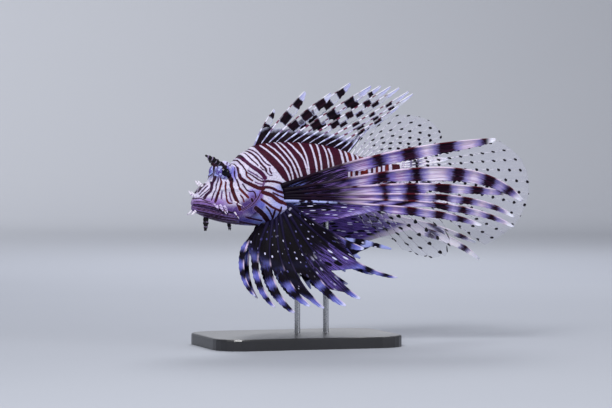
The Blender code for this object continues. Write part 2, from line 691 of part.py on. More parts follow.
def make_stand(nodes, body_cutter):
    """Flat base with rounded corners and two rods up to the belly."""
    bm = bmesh.new()
    bmesh.ops.create_cube(bm, size=1)
    bmesh.ops.scale(bm, vec=(BASE_LENGTH, BASE_WIDTH, BASE_THICKNESS), verts=bm.verts)
    bmesh.ops.translate(bm, vec=(0, 0, BASE_THICKNESS / 2), verts=bm.verts)
    upright = [e for e in bm.edges if abs(e.verts[0].co.z - e.verts[1].co.z) > 1]
    bmesh.ops.bevel(bm, geom=upright, offset=BASE_CORNER, segments=6, profile=0.5,
                    affect="EDGES")
    rim = [e for e in bm.edges if min(v.co.z for v in e.verts) > BASE_THICKNESS - 0.01]
    bmesh.ops.bevel(bm, geom=rim, offset=1.2, segments=2, profile=0.5, affect="EDGES")
    link("stand_base", mesh_from(bm, "stand_base"), nodes, (0.02, 0.02, 0.022), 0.35)
    for name, x in ROD_PLACES:
        foot, head = BASE_THICKNESS + GAP, section_at(x)[1] + 3
        bm = bmesh.new()
        bmesh.ops.create_cone(bm, cap_ends=True, segments=16, radius1=ROD_RADIUS,
                              radius2=ROD_RADIUS, depth=head - foot)
        bmesh.ops.translate(bm, vec=(x, 0, (head + foot) / 2), verts=bm.verts)
        rod = link(name, mesh_from(bm, name), nodes, (0.7, 0.7, 0.72), 0.25, 1.0)
        combine(rod, body_cutter, "DIFFERENCE")
        bake_modifiers(rod)


def main():
    for obj in list(bpy.data.objects):
        bpy.data.objects.remove(obj)
    nodes = bpy.data.collections.new("red_lionfish")
    cutters = bpy.data.collections.new("cutters")
    for collection in (nodes, cutters):
        bpy.context.scene.collection.children.link(collection)
    body_cutter = cutter("body_cutter", body_bmesh(GAP), cutters)
    head, jaw, _, _ = make_body(nodes, cutters)
    add_head_flaps(head, jaw)
    make_eyes(nodes)
    make_gill_covers(nodes, body_cutter)
    make_brow_tentacles(nodes, body_cutter)
    make_fins(nodes, body_cutter)
    make_stand(nodes, body_cutter)


main()
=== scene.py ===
"""Looks of the life-size red lionfish model: skin, eyes, fins, stand, floor, light and camera.

The fish faces -X with its left side towards -Y. Sizes are in millimetres and become metres
where a mesh is made. The tables of the body and of the fin rays repeat the part's own, apart
from one web of the right pectoral fin.
"""

import math
from functools import reduce

import bmesh
import bpy
import numpy as np
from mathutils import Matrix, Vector


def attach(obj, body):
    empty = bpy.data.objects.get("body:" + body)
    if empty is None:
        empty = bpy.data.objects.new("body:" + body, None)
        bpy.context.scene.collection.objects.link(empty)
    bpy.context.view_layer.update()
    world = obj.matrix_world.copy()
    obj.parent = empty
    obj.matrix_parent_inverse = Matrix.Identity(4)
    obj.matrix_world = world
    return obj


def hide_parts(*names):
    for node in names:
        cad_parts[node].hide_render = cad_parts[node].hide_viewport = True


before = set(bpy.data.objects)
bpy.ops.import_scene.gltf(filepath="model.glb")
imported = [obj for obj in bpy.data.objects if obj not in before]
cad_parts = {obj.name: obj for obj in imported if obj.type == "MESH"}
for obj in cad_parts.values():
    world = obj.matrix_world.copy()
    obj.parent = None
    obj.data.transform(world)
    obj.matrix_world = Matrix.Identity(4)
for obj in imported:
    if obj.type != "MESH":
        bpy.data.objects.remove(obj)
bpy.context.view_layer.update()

MM = 0.001
FAR = 1e9  # further than any distance on the model

# Body, as in the part
SNOUT_X, SNOUT_Z = -75.6, 98.6
HYPURAL_X = 73.0
EYE_X, EYE_Y, EYE_Z, EYE_RADIUS = -55.2, 8.6, 121.4, 5.6
EYE_OPENING = 2.7  # how far outside the eye's centre the skin meets it
WIDEST_SHARE = 0.46  # height of the widest level between belly and back
LIP_HEIGHT, LIP_OFFSET, LIP_SPREAD = 0.9, 2.0, 1.5
MOUTH_START, MOUTH_END = (-80.0, 99.0), (-47.0, 92.0)
SECTIONS = (  # x, top, bottom, half width, powers above and below the widest level
    (-75.2, 102.4, 95.6, 3.2, 2.0, 2.0),
    (-73.6, 106.6, 93.9, 6.0, 2.2, 2.1),
    (-70.7, 110.2, 92.2, 8.0, 2.4, 2.2),
    (-67.0, 113.2, 90.4, 9.4, 2.6, 2.3),
    (-63.3, 115.4, 89.0, 10.6, 2.8, 2.4),
    (-60.6, 119.4, 88.2, 11.4, 3.0, 2.4),
    (-57.8, 123.6, 87.4, 12.2, 3.2, 2.4),
    (-53.5, 125.6, 86.4, 13.2, 3.4, 2.5),
    (-47.0, 126.8, 85.3, 14.4, 3.0, 2.5),
    (-43.6, 130.6, 84.8, 15.0, 2.6, 2.5),
    (-40.6, 133.8, 84.5, 15.5, 2.4, 2.4),
    (-35.5, 136.6, 84.1, 16.2, 2.2, 2.4),
    (-31.0, 139.6, 83.9, 16.6, 2.1, 2.3),
    (-24.0, 141.4, 83.8, 16.9, 2.1, 2.2),
    (-10.0, 142.1, 86.2, 16.8, 2.0, 2.1),
    (6.0, 141.6, 92.2, 15.0, 2.0, 2.0),
    (22.0, 139.6, 98.8, 12.4, 2.0, 2.0),
    (38.0, 135.0, 105.6, 9.2, 2.0, 2.0),
    (54.0, 130.0, 111.2, 6.2, 2.0, 2.0),
    (66.0, 127.6, 113.2, 4.2, 2.0, 2.0),
    (73.0, 126.4, 114.0, 2.6, 2.0, 2.0),
    (76.5, 126.6, 113.8, 1.3, 2.0, 2.0),
)
SWELLINGS = (  # x, y, z, radius, height, share of it that goes straight up
    (-57.6, 8.8, 121.6, 4.0, 4.8, 1.0),
    (-53.0, 9.0, 122.4, 4.2, 4.2, 1.0),
    (-61.4, 9.6, 117.8, 4.0, 2.0, 0.0),
    (-49.4, 11.0, 121.0, 4.2, 1.2, 0.0),
    (-54.5, 12.6, 114.6, 4.6, 1.6, 0.0),
    (-70.0, 6.6, 108.5, 2.8, 0.9, 0.0),
    (-44.0, 14.4, 103.0, 7.0, 0.8, 0.0),
)

# Ridges and grooves of the head: course in X and height, spread, height of the ridge
RIDGES = (
    (((-77, 98.4), (-66, 96.0), (-56, 94.0), (-50, 93.2)), 0.8, -1.3),
    (((-72, 101.4), (-63, 100.2), (-55, 98.4), (-50, 96.4)), 2.0, 0.5),
    (((-67, 107.5), (-60, 109.5), (-52, 110.2), (-46, 109.6), (-41, 108.6)), 1.4, 0.7),
    (((-46.5, 117), (-43.6, 111), (-43.0, 105), (-45.0, 99.5), (-51, 95)), 1.1, 0.7),
    (((-44.5, 116), (-41.6, 110), (-41.0, 104), (-43.0, 98)), 0.7, -0.5),
    (((-28, 121), (-6, 124), (20, 122.6), (44, 121.2), (70, 120.2)), 0.5, 0.25),
)
GILL_EDGE = ((-33.5, 122.5), (-28.6, 118.5), (-26.4, 112.5), (-26.8, 106), (-29.4, 100),
             (-33.4, 95), (-38.5, 91), (-45, 88))
GILL_STEP = 2.3
GILL_RISE, GILL_FADE = (-0.5, 0.3), (3.0, 15.0)  # ahead of the edge
GILL_BOTTOM = (86, 90)  # heights over which the step comes in
FIN_BASES = (  # centre x, height, reach along x and up, height of the lobe
    (-15.0, 103.5, 11.0, 13.5, 2.0),
    (-14.0, 87.0, 7.0, 3.5, 1.2),
)
FIN_BASE_FADE = (0.2, 1.25)  # shares of the reach over which a lobe falls off
MIDDLE_FADE = (1.0, 4.0)  # from the middle plane, where ridges and lobes come in

# Fin rays, as in the part: x and height of the root, degrees above +X at root and tip, how late
# the ray bends, length, share of it that is webbed, width of its free vane
LEFT_PECTORAL = (
    (-13.4, 112.4, 23.5, 3, 0.9, 152, 0.24, 8.0),
    (-12.1, 109.2, 10.8, -53, 3.6, 174, 0.36, 9.6),
    (-11.4, 106.8, 6, -12, 2.0, 158, 0.58, 6.4),
    (-11.0, 105.0, 1, -38, 5.0, 162, 0.60, 5.2),
    (-11.0, 103.4, -1, -33, 4.0, 162, 0.58, 5.0),
    (-11.0, 101.8, -3, -25, 4.0, 138, 0.40, 5.4),
    (-11.0, 100.0, -38, -22, 1.6, 62, 0.66, 7.0),
    (-11.2, 98.2, -48, -12, 1.8, 93, 0.64, 3.6),
    (-12.0, 96.2, -64, -36, 1.9, 83, 0.78, 5.2),
    (-13.4, 94.2, -73, -38, 1.9, 81, 0.56, 6.0),
    (-15.2, 92.2, -91, -40, 1.5, 76, 0.80, 4.6),
    (-17.4, 90.3, -99, -40, 1.5, 71, 0.50, 5.8),
    (-19.8, 88.5, -109, -43, 1.6, 73, 0.40, 5.6),
    (-22.4, 86.9, -127, -50, 1.3, 68, 0.36, 4.6),
    (-25.0, 85.6, -151, -52, 1.2, 63, 0.30, 3.4),
)
RIGHT_PECTORAL = (
    (-13.4, 112.4, 14, 0, 1.0, 150, 0.30, 6.5),
    (-12.1, 109.2, 7, -20, 2.4, 160, 0.34, 8.0),
    (-11.4, 106.8, 3, -20, 2.4, 155, 0.50, 6.0),
    (-11.0, 105.0, -3, -20, 2.4, 140, 0.50, 5.0),
    (-11.0, 103.2, -8, -27, 4.0, 175, 0.80, 6.4),
    (-11.0, 101.4, -9, -44, 5.0, 186, 0.60, 6.4),  # webbed to 0.48 in the part
    (-11.2, 98.8, -38, -20, 1.8, 106, 0.46, 4.4),
    (-12.0, 96.6, -47, -28, 1.8, 96, 0.60, 5.0),
    (-13.4, 94.4, -57, -34, 1.8, 88, 0.50, 5.6),
    (-15.2, 92.3, -67, -38, 1.5, 82, 0.60, 4.6),
    (-17.4, 90.4, -76, -42, 1.4, 77, 0.46, 5.4),
    (-19.8, 88.6, -86, -46, 1.5, 73, 0.40, 5.2),
    (-22.4, 87.0, -98, -50, 1.2, 68, 0.34, 4.4),
    (-25.0, 85.7, -112, -52, 1.1, 62, 0.30, 3.4),
)
PELVIC = (
    (-17.0, 85.6, -88, -68, 1.5, 42, 0.60, 2.4),
    (-15.4, 85.8, -71, -55, 1.5, 52, 0.74, 4.0),
    (-13.8, 86.2, -57, -44, 1.5, 57, 0.80, 4.4),
    (-12.2, 86.7, -44, -33, 1.5, 57, 0.80, 4.4),
    (-10.6, 87.2, -32, -20, 1.5, 60, 0.80, 4.4),
    (-9.0, 87.8, -21, -9, 1.5, 77, 0.60, 3.6),
)
DORSAL_SPINES = (
    (-30.9, 138.6, 70, 54, 1.0, 30, 0.30, 4.4),
    (-25.8, 140.4, 53, 44, 1.0, 50, 0.24, 6.6),
    (-20.4, 141.2, 43, 34, 1.0, 57, 0.20, 6.8),
    (-14.7, 141.8, 41, 33, 1.0, 70, 0.18, 6.6),
    (-8.6, 142.0, 35, 30, 1.0, 74, 0.17, 5.6),
    (-2.4, 142.0, 32, 30, 1.0, 78, 0.16, 4.6),
    (3.8, 141.8, 32, 31, 1.0, 76, 0.16, 4.0),
    (9.9, 141.3, 30, 30, 1.0, 79, 0.16, 3.6),
    (16.0, 140.6, 28, 31, 1.0, 76, 0.17, 3.4),
    (22.0, 139.6, 27, 31, 1.0, 76, 0.18, 3.2),
    (27.8, 138.2, 30, 34, 1.0, 56, 0.26, 3.0),
    (33.2, 136.6, 38, 40, 1.0, 31, 0.50, 2.6),
    (38.2, 135.0, 50, 52, 1.0, 21, 0.70, 2.4),
)
SOFT_DORSAL = tuple(
    (x, z, angle + 4, angle - 4, 1.0, length, 1.0, 1.6)
    for x, z, angle, length in (
        (41.6, 133.8, 56, 25), (44.2, 133.0, 50, 34), (46.6, 132.3, 45, 41),
        (49.0, 131.6, 40, 46), (51.4, 130.9, 35.5, 50), (53.6, 130.2, 31, 53),
        (55.8, 129.6, 26.5, 54), (57.8, 129.0, 22.5, 54), (59.8, 128.6, 19, 52),
        (61.6, 128.2, 16, 48), (63.4, 127.9, 14, 41),
    )
)
ANAL = tuple(
    (x, z, angle - 4, angle + 4, 1.0, length, web, 1.8)
    for x, z, angle, length, web in (
        (37.0, 105.3, -70, 16, 0.72), (39.8, 106.4, -64, 27, 0.72),
        (42.6, 107.4, -58, 39, 0.80), (45.4, 108.3, -51.5, 54, 0.92),
        (48.2, 109.2, -48.5, 63, 0.94), (50.8, 110.1, -45.5, 71, 0.94),
        (53.4, 110.9, -41, 77, 0.94), (56.0, 111.6, -36.5, 74, 0.94),
        (58.6, 112.1, -31.5, 65, 0.94), (61.2, 112.5, -27, 50, 0.9),
    )
)
TAIL_RAYS = tuple(
    (HYPURAL_X, 125.6 - 1.0 * k, 12.4 - 4.15 * k, 11.4 - 4.15 * k, 1.0, length, 1.0, 2.0)
    for k, length in enumerate((82, 90, 97, 101, 103, 104, 103, 101, 98, 93, 88, 83))
)
FOLD_RAY = 5  # the pectoral ray below which the fan turns black

# Bars on the pale head, breast and pectoral base: tone, width, course in X and height
HEAD_BARS = (
    # Snout and cheek, front to back
    ("plum", 1.8, ((-61.5, 118), (-62.5, 115.5), (-63.5, 113), (-64, 110.5), (-65.5, 108),
     (-67.5, 106), (-69, 103.5))),
    ("plum", 0.7, ((-60, 118.5), (-60, 115.5), (-61, 113), (-61.5, 110), (-63, 106.5),
     (-64.5, 102))),
    ("rust", 1.3, ((-58.5, 118.5), (-58, 115.5), (-58.5, 112.5), (-59.5, 109), (-60, 106.5))),
    ("maroon", 1.7, ((-60, 107), (-61, 104), (-62, 101))),
    ("mauve", 0.9, ((-57.5, 108), (-58, 103))),
    ("rust", 1.2, ((-55, 114.5), (-55.5, 111.5), (-55, 108), (-54.5, 104.5), (-54, 101.5),
     (-52.5, 100), (-51, 100))),
    ("mauve", 0.9, ((-52.5, 107.5), (-52, 104), (-51, 101.5))),
    ("black", 2.9, ((-53, 121), (-51.7, 118.5), (-51, 115.5))),
    ("brown", 2.5, ((-51, 116), (-51.5, 112.5), (-50.5, 109), (-49.5, 106), (-48, 102.5),
     (-46.5, 99), (-45.5, 96))),
    ("plum", 0.7, ((-48, 124.5), (-48.5, 121.5), (-48.5, 118), (-47.5, 115.5))),
    ("maroon", 1.1, ((-47.5, 116), (-46.5, 113.5), (-46, 111.5), (-45, 109.5))),
    ("rust", 1.8, ((-45.5, 110), (-43.5, 108), (-41.5, 106), (-39.5, 104))),
    ("rust", 1.1, ((-45, 105.5), (-43.5, 103.5), (-42.5, 101))),
    ("plum", 1.0, ((-43.5, 113), (-42, 111), (-40.5, 109), (-38, 108), (-36.5, 108.2))),
    ("plum", 1.0, ((-35.5, 108), (-34.5, 106.5), (-34, 104))),
    ("maroon", 1.0, ((-47, 127.6), (-46.7, 126), (-46, 124))),
    ("maroon", 1.6, ((-46, 124.5), (-46, 121.5), (-45.5, 119))),
    ("maroon", 2.4, ((-45.5, 119.5), (-45, 117.5), (-43, 116), (-41, 114.5), (-38.5, 113.5))),
    ("brown", 2.7, ((-39, 113.5), (-35.5, 112), (-32, 110.5), (-28.5, 110))),
    # Nape
    ("maroon", 1.0, ((-44.5, 129.5), (-44.2, 128), (-43.2, 126.5), (-41.7, 123.5), (-40.3, 121),
     (-38, 120), (-33.5, 117), (-31, 115.5), (-26.5, 114.5))),
    ("rust", 1.3, ((-41, 121.5), (-40.5, 119), (-38.5, 117), (-36.5, 115.5))),
    ("mauve", 0.9, ((-34.5, 114.5), (-32, 113.5), (-29, 113))),
    ("mauve", 0.9, ((-39.5, 122.5), (-37, 121), (-34, 119.5), (-31, 117.5), (-29, 116.5))),
    ("black", 2.6, ((-43, 134), (-42, 132), (-41.3, 130.6))),
    ("purple", 2.9, ((-42, 131.5), (-41, 130), (-37, 125.8), (-34.5, 124), (-30, 120.7),
     (-28.5, 119), (-27.3, 117.5))),
    ("maroon", 0.9, ((-38.8, 134.4), (-37.5, 132.5), (-35.5, 129.7), (-34, 128.3), (-32, 126))),
    ("maroon", 0.8, ((-30.5, 125), (-29, 123.2), (-26.5, 122.4))),
    ("maroon", 1.5, ((-36.8, 135.8), (-35, 134.3), (-32.5, 131.5), (-30, 127.5), (-28.3, 125.3),
     (-26.7, 123.5), (-26.5, 122))),
    ("plum", 0.6, ((-26.5, 122), (-25.5, 120.5), (-24, 119.2), (-22, 119))),
    ("purple", 1.1, ((-34.8, 137), (-33, 135.8), (-30, 132.5), (-27.5, 128.5), (-25.5, 126.7),
     (-22.5, 125.8))),
    ("purple", 0.9, ((-24, 124), (-23.8, 122), (-22.5, 120.5))),
    # Brow and snout
    ("black", 3.6, ((-59, 129), (-57, 126), (-55, 123.5))),
    ("maroon", 0.6, ((-51.2, 127.9), (-51.1, 126.8), (-51.6, 126), (-52.5, 125.8))),
    ("plum", 0.6, ((-53.5, 126.4), (-53.6, 127.4), (-52.9, 128.3))),
    ("plum", 0.6, ((-66, 112), (-69.5, 109), (-72, 106))),
    ("plum", 0.6, ((-66.5, 113.4), (-70, 110.5), (-72.5, 107.6))),
    ("plum", 0.6, ((-65.5, 110), (-68.5, 107.5), (-71.5, 104.6))),
    ("plum", 0.6, ((-66.5, 107), (-68.5, 105.5), (-70, 104))),
    ("plum", 0.6, ((-68.5, 113.0), (-71.5, 110), (-73.4, 107))),
    # Lips and lower jaw
    ("plum", 0.6, ((-75, 103), (-72, 103.5), (-69, 102), (-65.5, 101))),
    ("plum", 0.6, ((-75, 101), (-70, 101), (-63, 99), (-56, 97.4))),
    ("black", 0.9, ((-76, 99), (-72.5, 99), (-64.5, 97.5), (-54.5, 94.5), (-50.5, 93.5))),
    ("plum", 0.6, ((-75.5, 98), (-70, 97.6), (-64, 96.2), (-56, 93.8))),
    ("plum", 0.7, ((-75.5, 96.8), (-69.5, 96), (-63, 94.5), (-55.5, 92.5), (-49.5, 91))),
    ("plum", 0.6, ((-73, 95.8), (-66, 94.4), (-58, 92.2))),
    ("plum", 0.8, ((-74, 94.6), (-67.5, 93.2), (-61, 91.8), (-53, 90), (-46, 89))),
    ("plum", 0.6, ((-71, 93.8), (-62, 91.2), (-54, 89.6))),
    ("plum", 0.8, ((-71, 92.6), (-63, 90.8), (-54, 88.5), (-46, 87))),
    ("plum", 0.6, ((-68, 91.4), (-58, 89), (-48, 87.6))),
    ("plum", 0.8, ((-67, 90.2), (-60, 88.6), (-50, 86.4), (-40, 85.4))),
    # Gill membrane
    ("mauve", 1.3, ((-26.5, 118), (-28, 114.5), (-29, 110))),
    ("black", 1.7, ((-36.9, 102.8), (-36.3, 101.4))),
    ("plum", 0.6, ((-30.5, 107.5), (-33, 102.5), (-37, 98.5), (-44, 94.6))),
    ("plum", 0.6, ((-34.5, 103.5), (-38.5, 98.8), (-46, 94.8))),
    # Pectoral base
    ("maroon", 1.6, ((-28, 115), (-23, 115), (-17.5, 114), (-10, 111), (-5, 108.5))),
    ("maroon", 1.9, ((-29, 111), (-23, 110.5), (-17.5, 108), (-8.5, 106))),
    ("brown", 2.8, ((-29, 107.5), (-23, 105.5), (-17.5, 101.5), (-11, 99))),
    ("brown", 1.2, ((-21.5, 107), (-14.5, 104), (-5, 102.5))),
    ("brown", 1.7, ((-30, 102.5), (-27, 100.5), (-22, 97.0), (-16, 94.5))),
    # Breast
    ("black", 3.2, ((-34, 96.5), (-30.5, 94), (-27, 91), (-23, 86.5), (-21, 82))),
    ("black", 1.1, ((-26.5, 97.5), (-23.5, 94), (-21, 90))),
    ("black", 1.5, ((-20, 95), (-20.5, 89.5), (-20.5, 84))),
    ("black", 1.3, ((-15.5, 97), (-16.5, 92.5), (-18.5, 87.5))),
    ("plum", 1.1, ((-41, 90.5), (-28, 87.5))),
    ("plum", 1.1, ((-43.5, 87), (-29, 84.2))),
)
# The pale head ends behind this line
HEAD_EDGE = ((-34.5, 142), (-32.5, 138), (-29, 132.5), (-24, 127), (-19, 121.5), (-15, 116.5),
             (-6, 111.5), (-4.5, 104), (-7, 96), (-12, 90), (-17, 80))
# Pale lines on the dark body: tone of the bar behind the line, width, course
BODY_LINES = (
    ("maroon", 1.5, ((-32.5, 138), (-29, 132.5), (-24, 127), (-19, 121.5), (-15, 116))),
    ("brown", 1.3, ((-27.5, 139.5), (-22.5, 135), (-15.5, 127.5), (-11, 121), (-9, 115.5))),
    ("maroon", 1.2, ((-22.5, 140.5), (-17.5, 136), (-12, 129), (-8, 122), (-7, 116))),
    ("brown", 1.3, ((-16.5, 142), (-13.5, 137), (-8, 129.5), (-5, 122), (-3, 117))),
    ("maroon", 1.4, ((-13, 142), (-9, 136.5), (-5.5, 131), (-2.5, 124), (-0.5, 117.5))),
    ("brown", 1.4, ((-6.5, 141.5), (-2.5, 136), (1, 131.5), (3, 124.5))),
    ("maroon", 1.3, ((1, 142), (2.5, 137), (4, 131.5), (4.5, 125.5))),
    ("brown", 1.5, ((9, 140), (9.5, 134.5), (10.5, 127.5), (11, 120.5))),
    ("maroon", 1.4, ((14, 140.5), (14, 134.5), (14.5, 127.5), (14.5, 120.5))),
    ("brown", 1.2, ((18.5, 139.5), (19.5, 134.5), (20, 128), (20, 121))),
    ("maroon", 1.4, ((22, 137), (23, 133), (23.5, 127.5), (24, 121))),
    ("brown", 2.0, ((31.2, 136.5), (31.5, 131.5), (32, 126.5), (31.5, 119.5))),
    ("rust", 1.9, ((35.3, 135), (35.5, 131), (36, 126.5), (36, 119.5))),
    ("brown", 2.0, ((40.4, 133.5), (40.2, 129), (39.8, 120.5))),
    ("rust", 1.8, ((44.2, 132.5), (44.3, 129), (44.2, 120.5))),
    ("brown", 2.2, ((52.8, 131), (52.2, 121))),
    ("rust", 2.0, ((56.6, 129.5), (56, 121))),
    ("brown", 2.0, ((60.8, 129), (60, 122))),
    ("rust", 2.0, ((64.2, 128), (63.5, 122))),
    ("brown", 2.6, ((69.5, 127.5), (69, 122))),
)
LINE_LEAN = 0.3  # most that such a line leans where it goes on past its course
# Bars between the eyes: tone, width, course in sideways distance and height
FOREHEAD_BARS = (
    ("black", 1.5, ((6.1, 126.4), (5.0, 124.8), (3.0, 122.8), (1.3, 121.3), (1.4, 120.3),
     (3.4, 119.2), (5.9, 118.1), (6.8, 116))),
    ("mauve", 0.7, ((1.3, 116), (0.9, 119), (1.0, 123))),
)
FOREHEAD_BACK, FOREHEAD_HALF_WIDTH, FOREHEAD_BOTTOM = -56.8, 6.6, 115
TONES = {
    "maroon": (60, 7, 32), "rust": (124, 36, 22), "brown": (72, 16, 18),
    "purple": (76, 16, 64), "plum": (46, 14, 56), "black": (8, 3, 14),
    "mauve": (146, 100, 170),
}
# Pale ground: centre x, height, reach along x and up, colour; the dark purple patches low on the
# jaw, gill membrane and breast, darker towards the bottom, are painted shade
PALE_BASE = (226, 222, 244)
PALE_PATCHES_AND_SHADE = (
    (-66, 100.5, 16, 4.0, (150, 116, 190)),
    (-70, 97, 14, 5.0, (112, 78, 152)),
    (-58, 93.5, 22, 6.0, (84, 54, 130)),
    (-50, 87, 20, 6, (58, 38, 104)),
    (-36, 86, 12, 6, (70, 68, 160)),
    (-24, 90, 12, 9, (126, 146, 228)),
    (-14, 104, 10, 10, (150, 166, 236)),
    (-33, 106.5, 5, 3, (140, 148, 236)),
    (-36.5, 106, 4, 5, (150, 140, 220)),
    (-30.2, 107, 2.0, 6, (128, 84, 166)),
    (-34.5, 101.5, 6, 5.5, (80, 46, 122)),
    (-40, 98.5, 7, 5, (66, 38, 112)),
    (-47, 95, 8, 4, (72, 44, 118)),
    (-35.5, 94.8, 6.5, 4.5, (44, 34, 104)),
    (-30, 99, 4, 4, (92, 100, 190)),
    (-60, 122, 4.4, 6.5, (150, 164, 240)),
    (-59.4, 125.6, 1.6, 1.8, (214, 220, 252)),
    (-49, 121, 2.4, 6, (134, 138, 232)),
    (-52.4, 128, 3.6, 2.4, (196, 194, 240)),
    (20, 104, 40, 12, (186, 182, 236)),
)

# Dark bands of the upper pectoral rays: first and last millimetre from the root
LEFT_BANDS = (
    ((0, 26), (38, 44), (64, 72), (85, 95), (110, 122.5), (142, 149)),
    ((0, 24), (37, 44), (64, 72), (88, 95.5), (117.5, 126.5), (141, 150), (158.5, 164)),
    ((0, 30), (44, 49), (64, 70), (82, 91), (103, 115), (129, 138), (150, 154)),
    ((0, 30), (65, 70), (81, 91), (102, 113), (122, 130), (144, 150)),
    ((0, 34), (66, 71), (82, 91), (102, 113), (120, 127), (141, 148)),
    ((0, 36), (64, 69), (83, 91), (103, 111), (119, 126)),
    ((0, 22), (30, 38), (48, 54)),
    ((0, 50), (56, 64), (69, 76), (82, 88)),
    ((0, 44), (50, 60), (66, 74)),
    ((0, 40), (46, 56), (62, 70)),
    ((0, 38), (44, 52), (58, 66)),
    ((0, 34), (40, 49), (55, 62)),
    ((0, 30), (36, 45), (51, 58), (64, 70)),
    ((0, 26), (32, 40), (46, 53), (58, 63)),
    ((0, 22), (28, 36), (42, 48), (54, 59)),
)
RIGHT_BANDS = (
    ((0, 26), (38, 46), (64, 74), (90, 100), (118, 126)),
    ((0, 26), (40, 48), (68, 78), (96, 106), (126, 134)),
    ((0, 30), (44, 52), (70, 80), (98, 108), (128, 136)),
    ((0, 32), (46, 54), (72, 81), (98, 107), (122, 129)),
    ((0, 34), (48, 56), (74, 82), (132, 138), (160, 165)),
    ((0, 36), (50, 58), (76, 84), (136, 142), (168, 173)),
    ((0, 46), (54, 64), (74, 84), (92, 98)),
    ((0, 44), (52, 62), (70, 80), (87, 92)),
    ((0, 42), (50, 60), (68, 76)),
    ((0, 40), (48, 57), (64, 71)),
    ((0, 38), (46, 54), (60, 68)),
    ((0, 32), (40, 48), (54, 62)),
    ((0, 28), (36, 44), (50, 57)),
    ((0, 24), (32, 40), (46, 52)),
)
PELVIC_BANDS = (
    ((0, 38),), ((0, 46),), ((0, 51),), ((0, 51),), ((0, 54),), ((0, 44), (50, 58), (63, 69)),
)
DORSAL_BANDS = (
    ((3, 9), (14, 19), (24, 28)),
    ((4, 10), (22, 31), (37, 44)),
    ((4, 10), (18, 26), (30, 38), (43, 51)),
    ((4, 10), (20, 26), (28, 36), (44, 51), (57, 64)),
    ((4, 9), (22, 30), (36, 43), (51, 59)),
    ((4, 9), (20, 28), (34, 41), (50, 57), (66, 70)),
    ((4, 9), (24, 31), (37, 43), (52, 58)),
    ((4, 9), (26, 32), (40, 46), (54, 60)),
    ((4, 9), (28, 34), (42, 47), (56, 61)),
    ((4, 9), (26, 32), (40, 45), (54, 59)),
    ((4, 9), (20, 26), (34, 40)),
    ((3, 8), (14, 19)),
    ((3, 7), (11, 14)),
)


def rgb(red, green, blue):
    """Linear colour from 0 to 255 screen values."""
    def linear(value):
        value /= 255
        return value / 12.92 if value < 0.04045 else ((value + 0.055) / 1.055) ** 2.4

    return (linear(red), linear(green), linear(blue), 1.0)


def smooth_step(value, low, high):
    """0 below low, 1 above high, smooth between."""
    t = np.clip((value - low) / (high - low), 0, 1)
    return t * t * (3 - 2 * t)


def unit(vectors):
    """The vectors brought to length 1."""
    return vectors / np.maximum(np.linalg.norm(vectors, axis=-1, keepdims=True), 1e-9)


def hermite(t, step, start, end, leaving, arriving):
    """Cubic curve over one step, from start to end with these slopes, at t from 0 to 1."""
    return (
        (1 + 2 * t) * (1 - t) ** 2 * start
        + t * (1 - t) ** 2 * step * leaving
        + t * t * (3 - 2 * t) * end
        + t * t * (t - 1) * step * arriving
    )


def rising_curve(px, py, xs):
    """Smooth curve through the points (px, py) that doesn't overshoot them, read at xs."""
    step = np.diff(px)
    slope = np.diff(py) / step
    tangent = np.zeros(len(px))
    tangent[0], tangent[-1] = slope[0], slope[-1]
    for k in range(1, len(px) - 1):
        before, after = slope[k - 1], slope[k]
        if before * after > 0:
            a, b = 2 * step[k] + step[k - 1], step[k] + 2 * step[k - 1]
            tangent[k] = (a + b) / (a / before + b / after)
    xs = np.clip(xs, px[0], px[-1])
    k = np.clip(np.searchsorted(px, xs) - 1, 0, len(step) - 1)
    return hermite((xs - px[k]) / step[k], step[k], py[k], py[k + 1], tangent[k], tangent[k + 1])


def spline(points, places, reads):
    """Smooth curve through points at the given places, read at reads."""
    points, places = np.array(points, float), np.array(places, float)
    slope = np.diff(points, axis=0) / np.diff(places)[:, None]
    tangent = np.empty_like(points)
    tangent[0], tangent[-1] = slope[0], slope[-1]
    weight = (np.diff(places)[1:] / (places[2:] - places[:-2]))[:, None]
    tangent[1:-1] = slope[:-1] * weight + slope[1:] * (1 - weight)
    k = np.clip(np.searchsorted(places, reads, side="right") - 1, 0, len(places) - 2)
    step = (places[k + 1] - places[k])[:, None]
    t = ((reads - places[k]) / step[:, 0])[:, None]
    return hermite(t, step, points[k], points[k + 1], tangent[k], tangent[k + 1])


def course_points(course, count=14):
    """The course's points made smooth."""
    points = np.array(course, float)
    if len(points) < 3:
        return points
    places = np.concatenate([[0], np.cumsum(np.linalg.norm(np.diff(points, axis=0), axis=1))])
    return spline(points, places, np.linspace(0, places[-1], count))


def course_distance(x, z, course):
    """Distance to a course in the X-Z plane, and on which side: positive is behind it."""
    points = course_points(course)
    nearest = np.full(x.shape, FAR)
    side = np.ones(x.shape)
    for a, b in zip(points, points[1:]):
        run = b - a
        t = np.clip(((x - a[0]) * run[0] + (z - a[1]) * run[1]) / (run @ run), 0, 1)
        away = np.hypot(x - a[0] - t * run[0], z - a[1] - t * run[1])
        turn = np.sign((z - a[1]) * run[0] - (x - a[0]) * run[1])
        closer = away < nearest
        nearest = np.where(closer, away, nearest)
        side = np.where(closer, np.where(turn == 0, 1, turn), side)
    return nearest, side


def from_spot(x, z, cx, cz, reach_x, reach_z):
    """Distance from the middle of an ellipse, 1 on its rim."""
    return np.sqrt(((x - cx) / reach_x) ** 2 + ((z - cz) / reach_z) ** 2)


def section_values(xs):
    """Top, bottom, half width and the powers above and below the widest level, at each x."""
    px, *columns = np.array(SECTIONS).T
    return [rising_curve(px, column, xs) for column in columns]


def half_width_at(x, z):
    """Half width of the body at x and height z, without its swellings."""
    top, bottom, half, above, below = (float(v[0]) for v in section_values(np.array([x])))
    level = bottom + (top - bottom) * WIDEST_SHARE
    height, power = (top - level, above) if z > level else (level - bottom, below)
    part = min(0.999, abs(z - level) / height)
    return half * (1 - part**power) ** (1 / power)


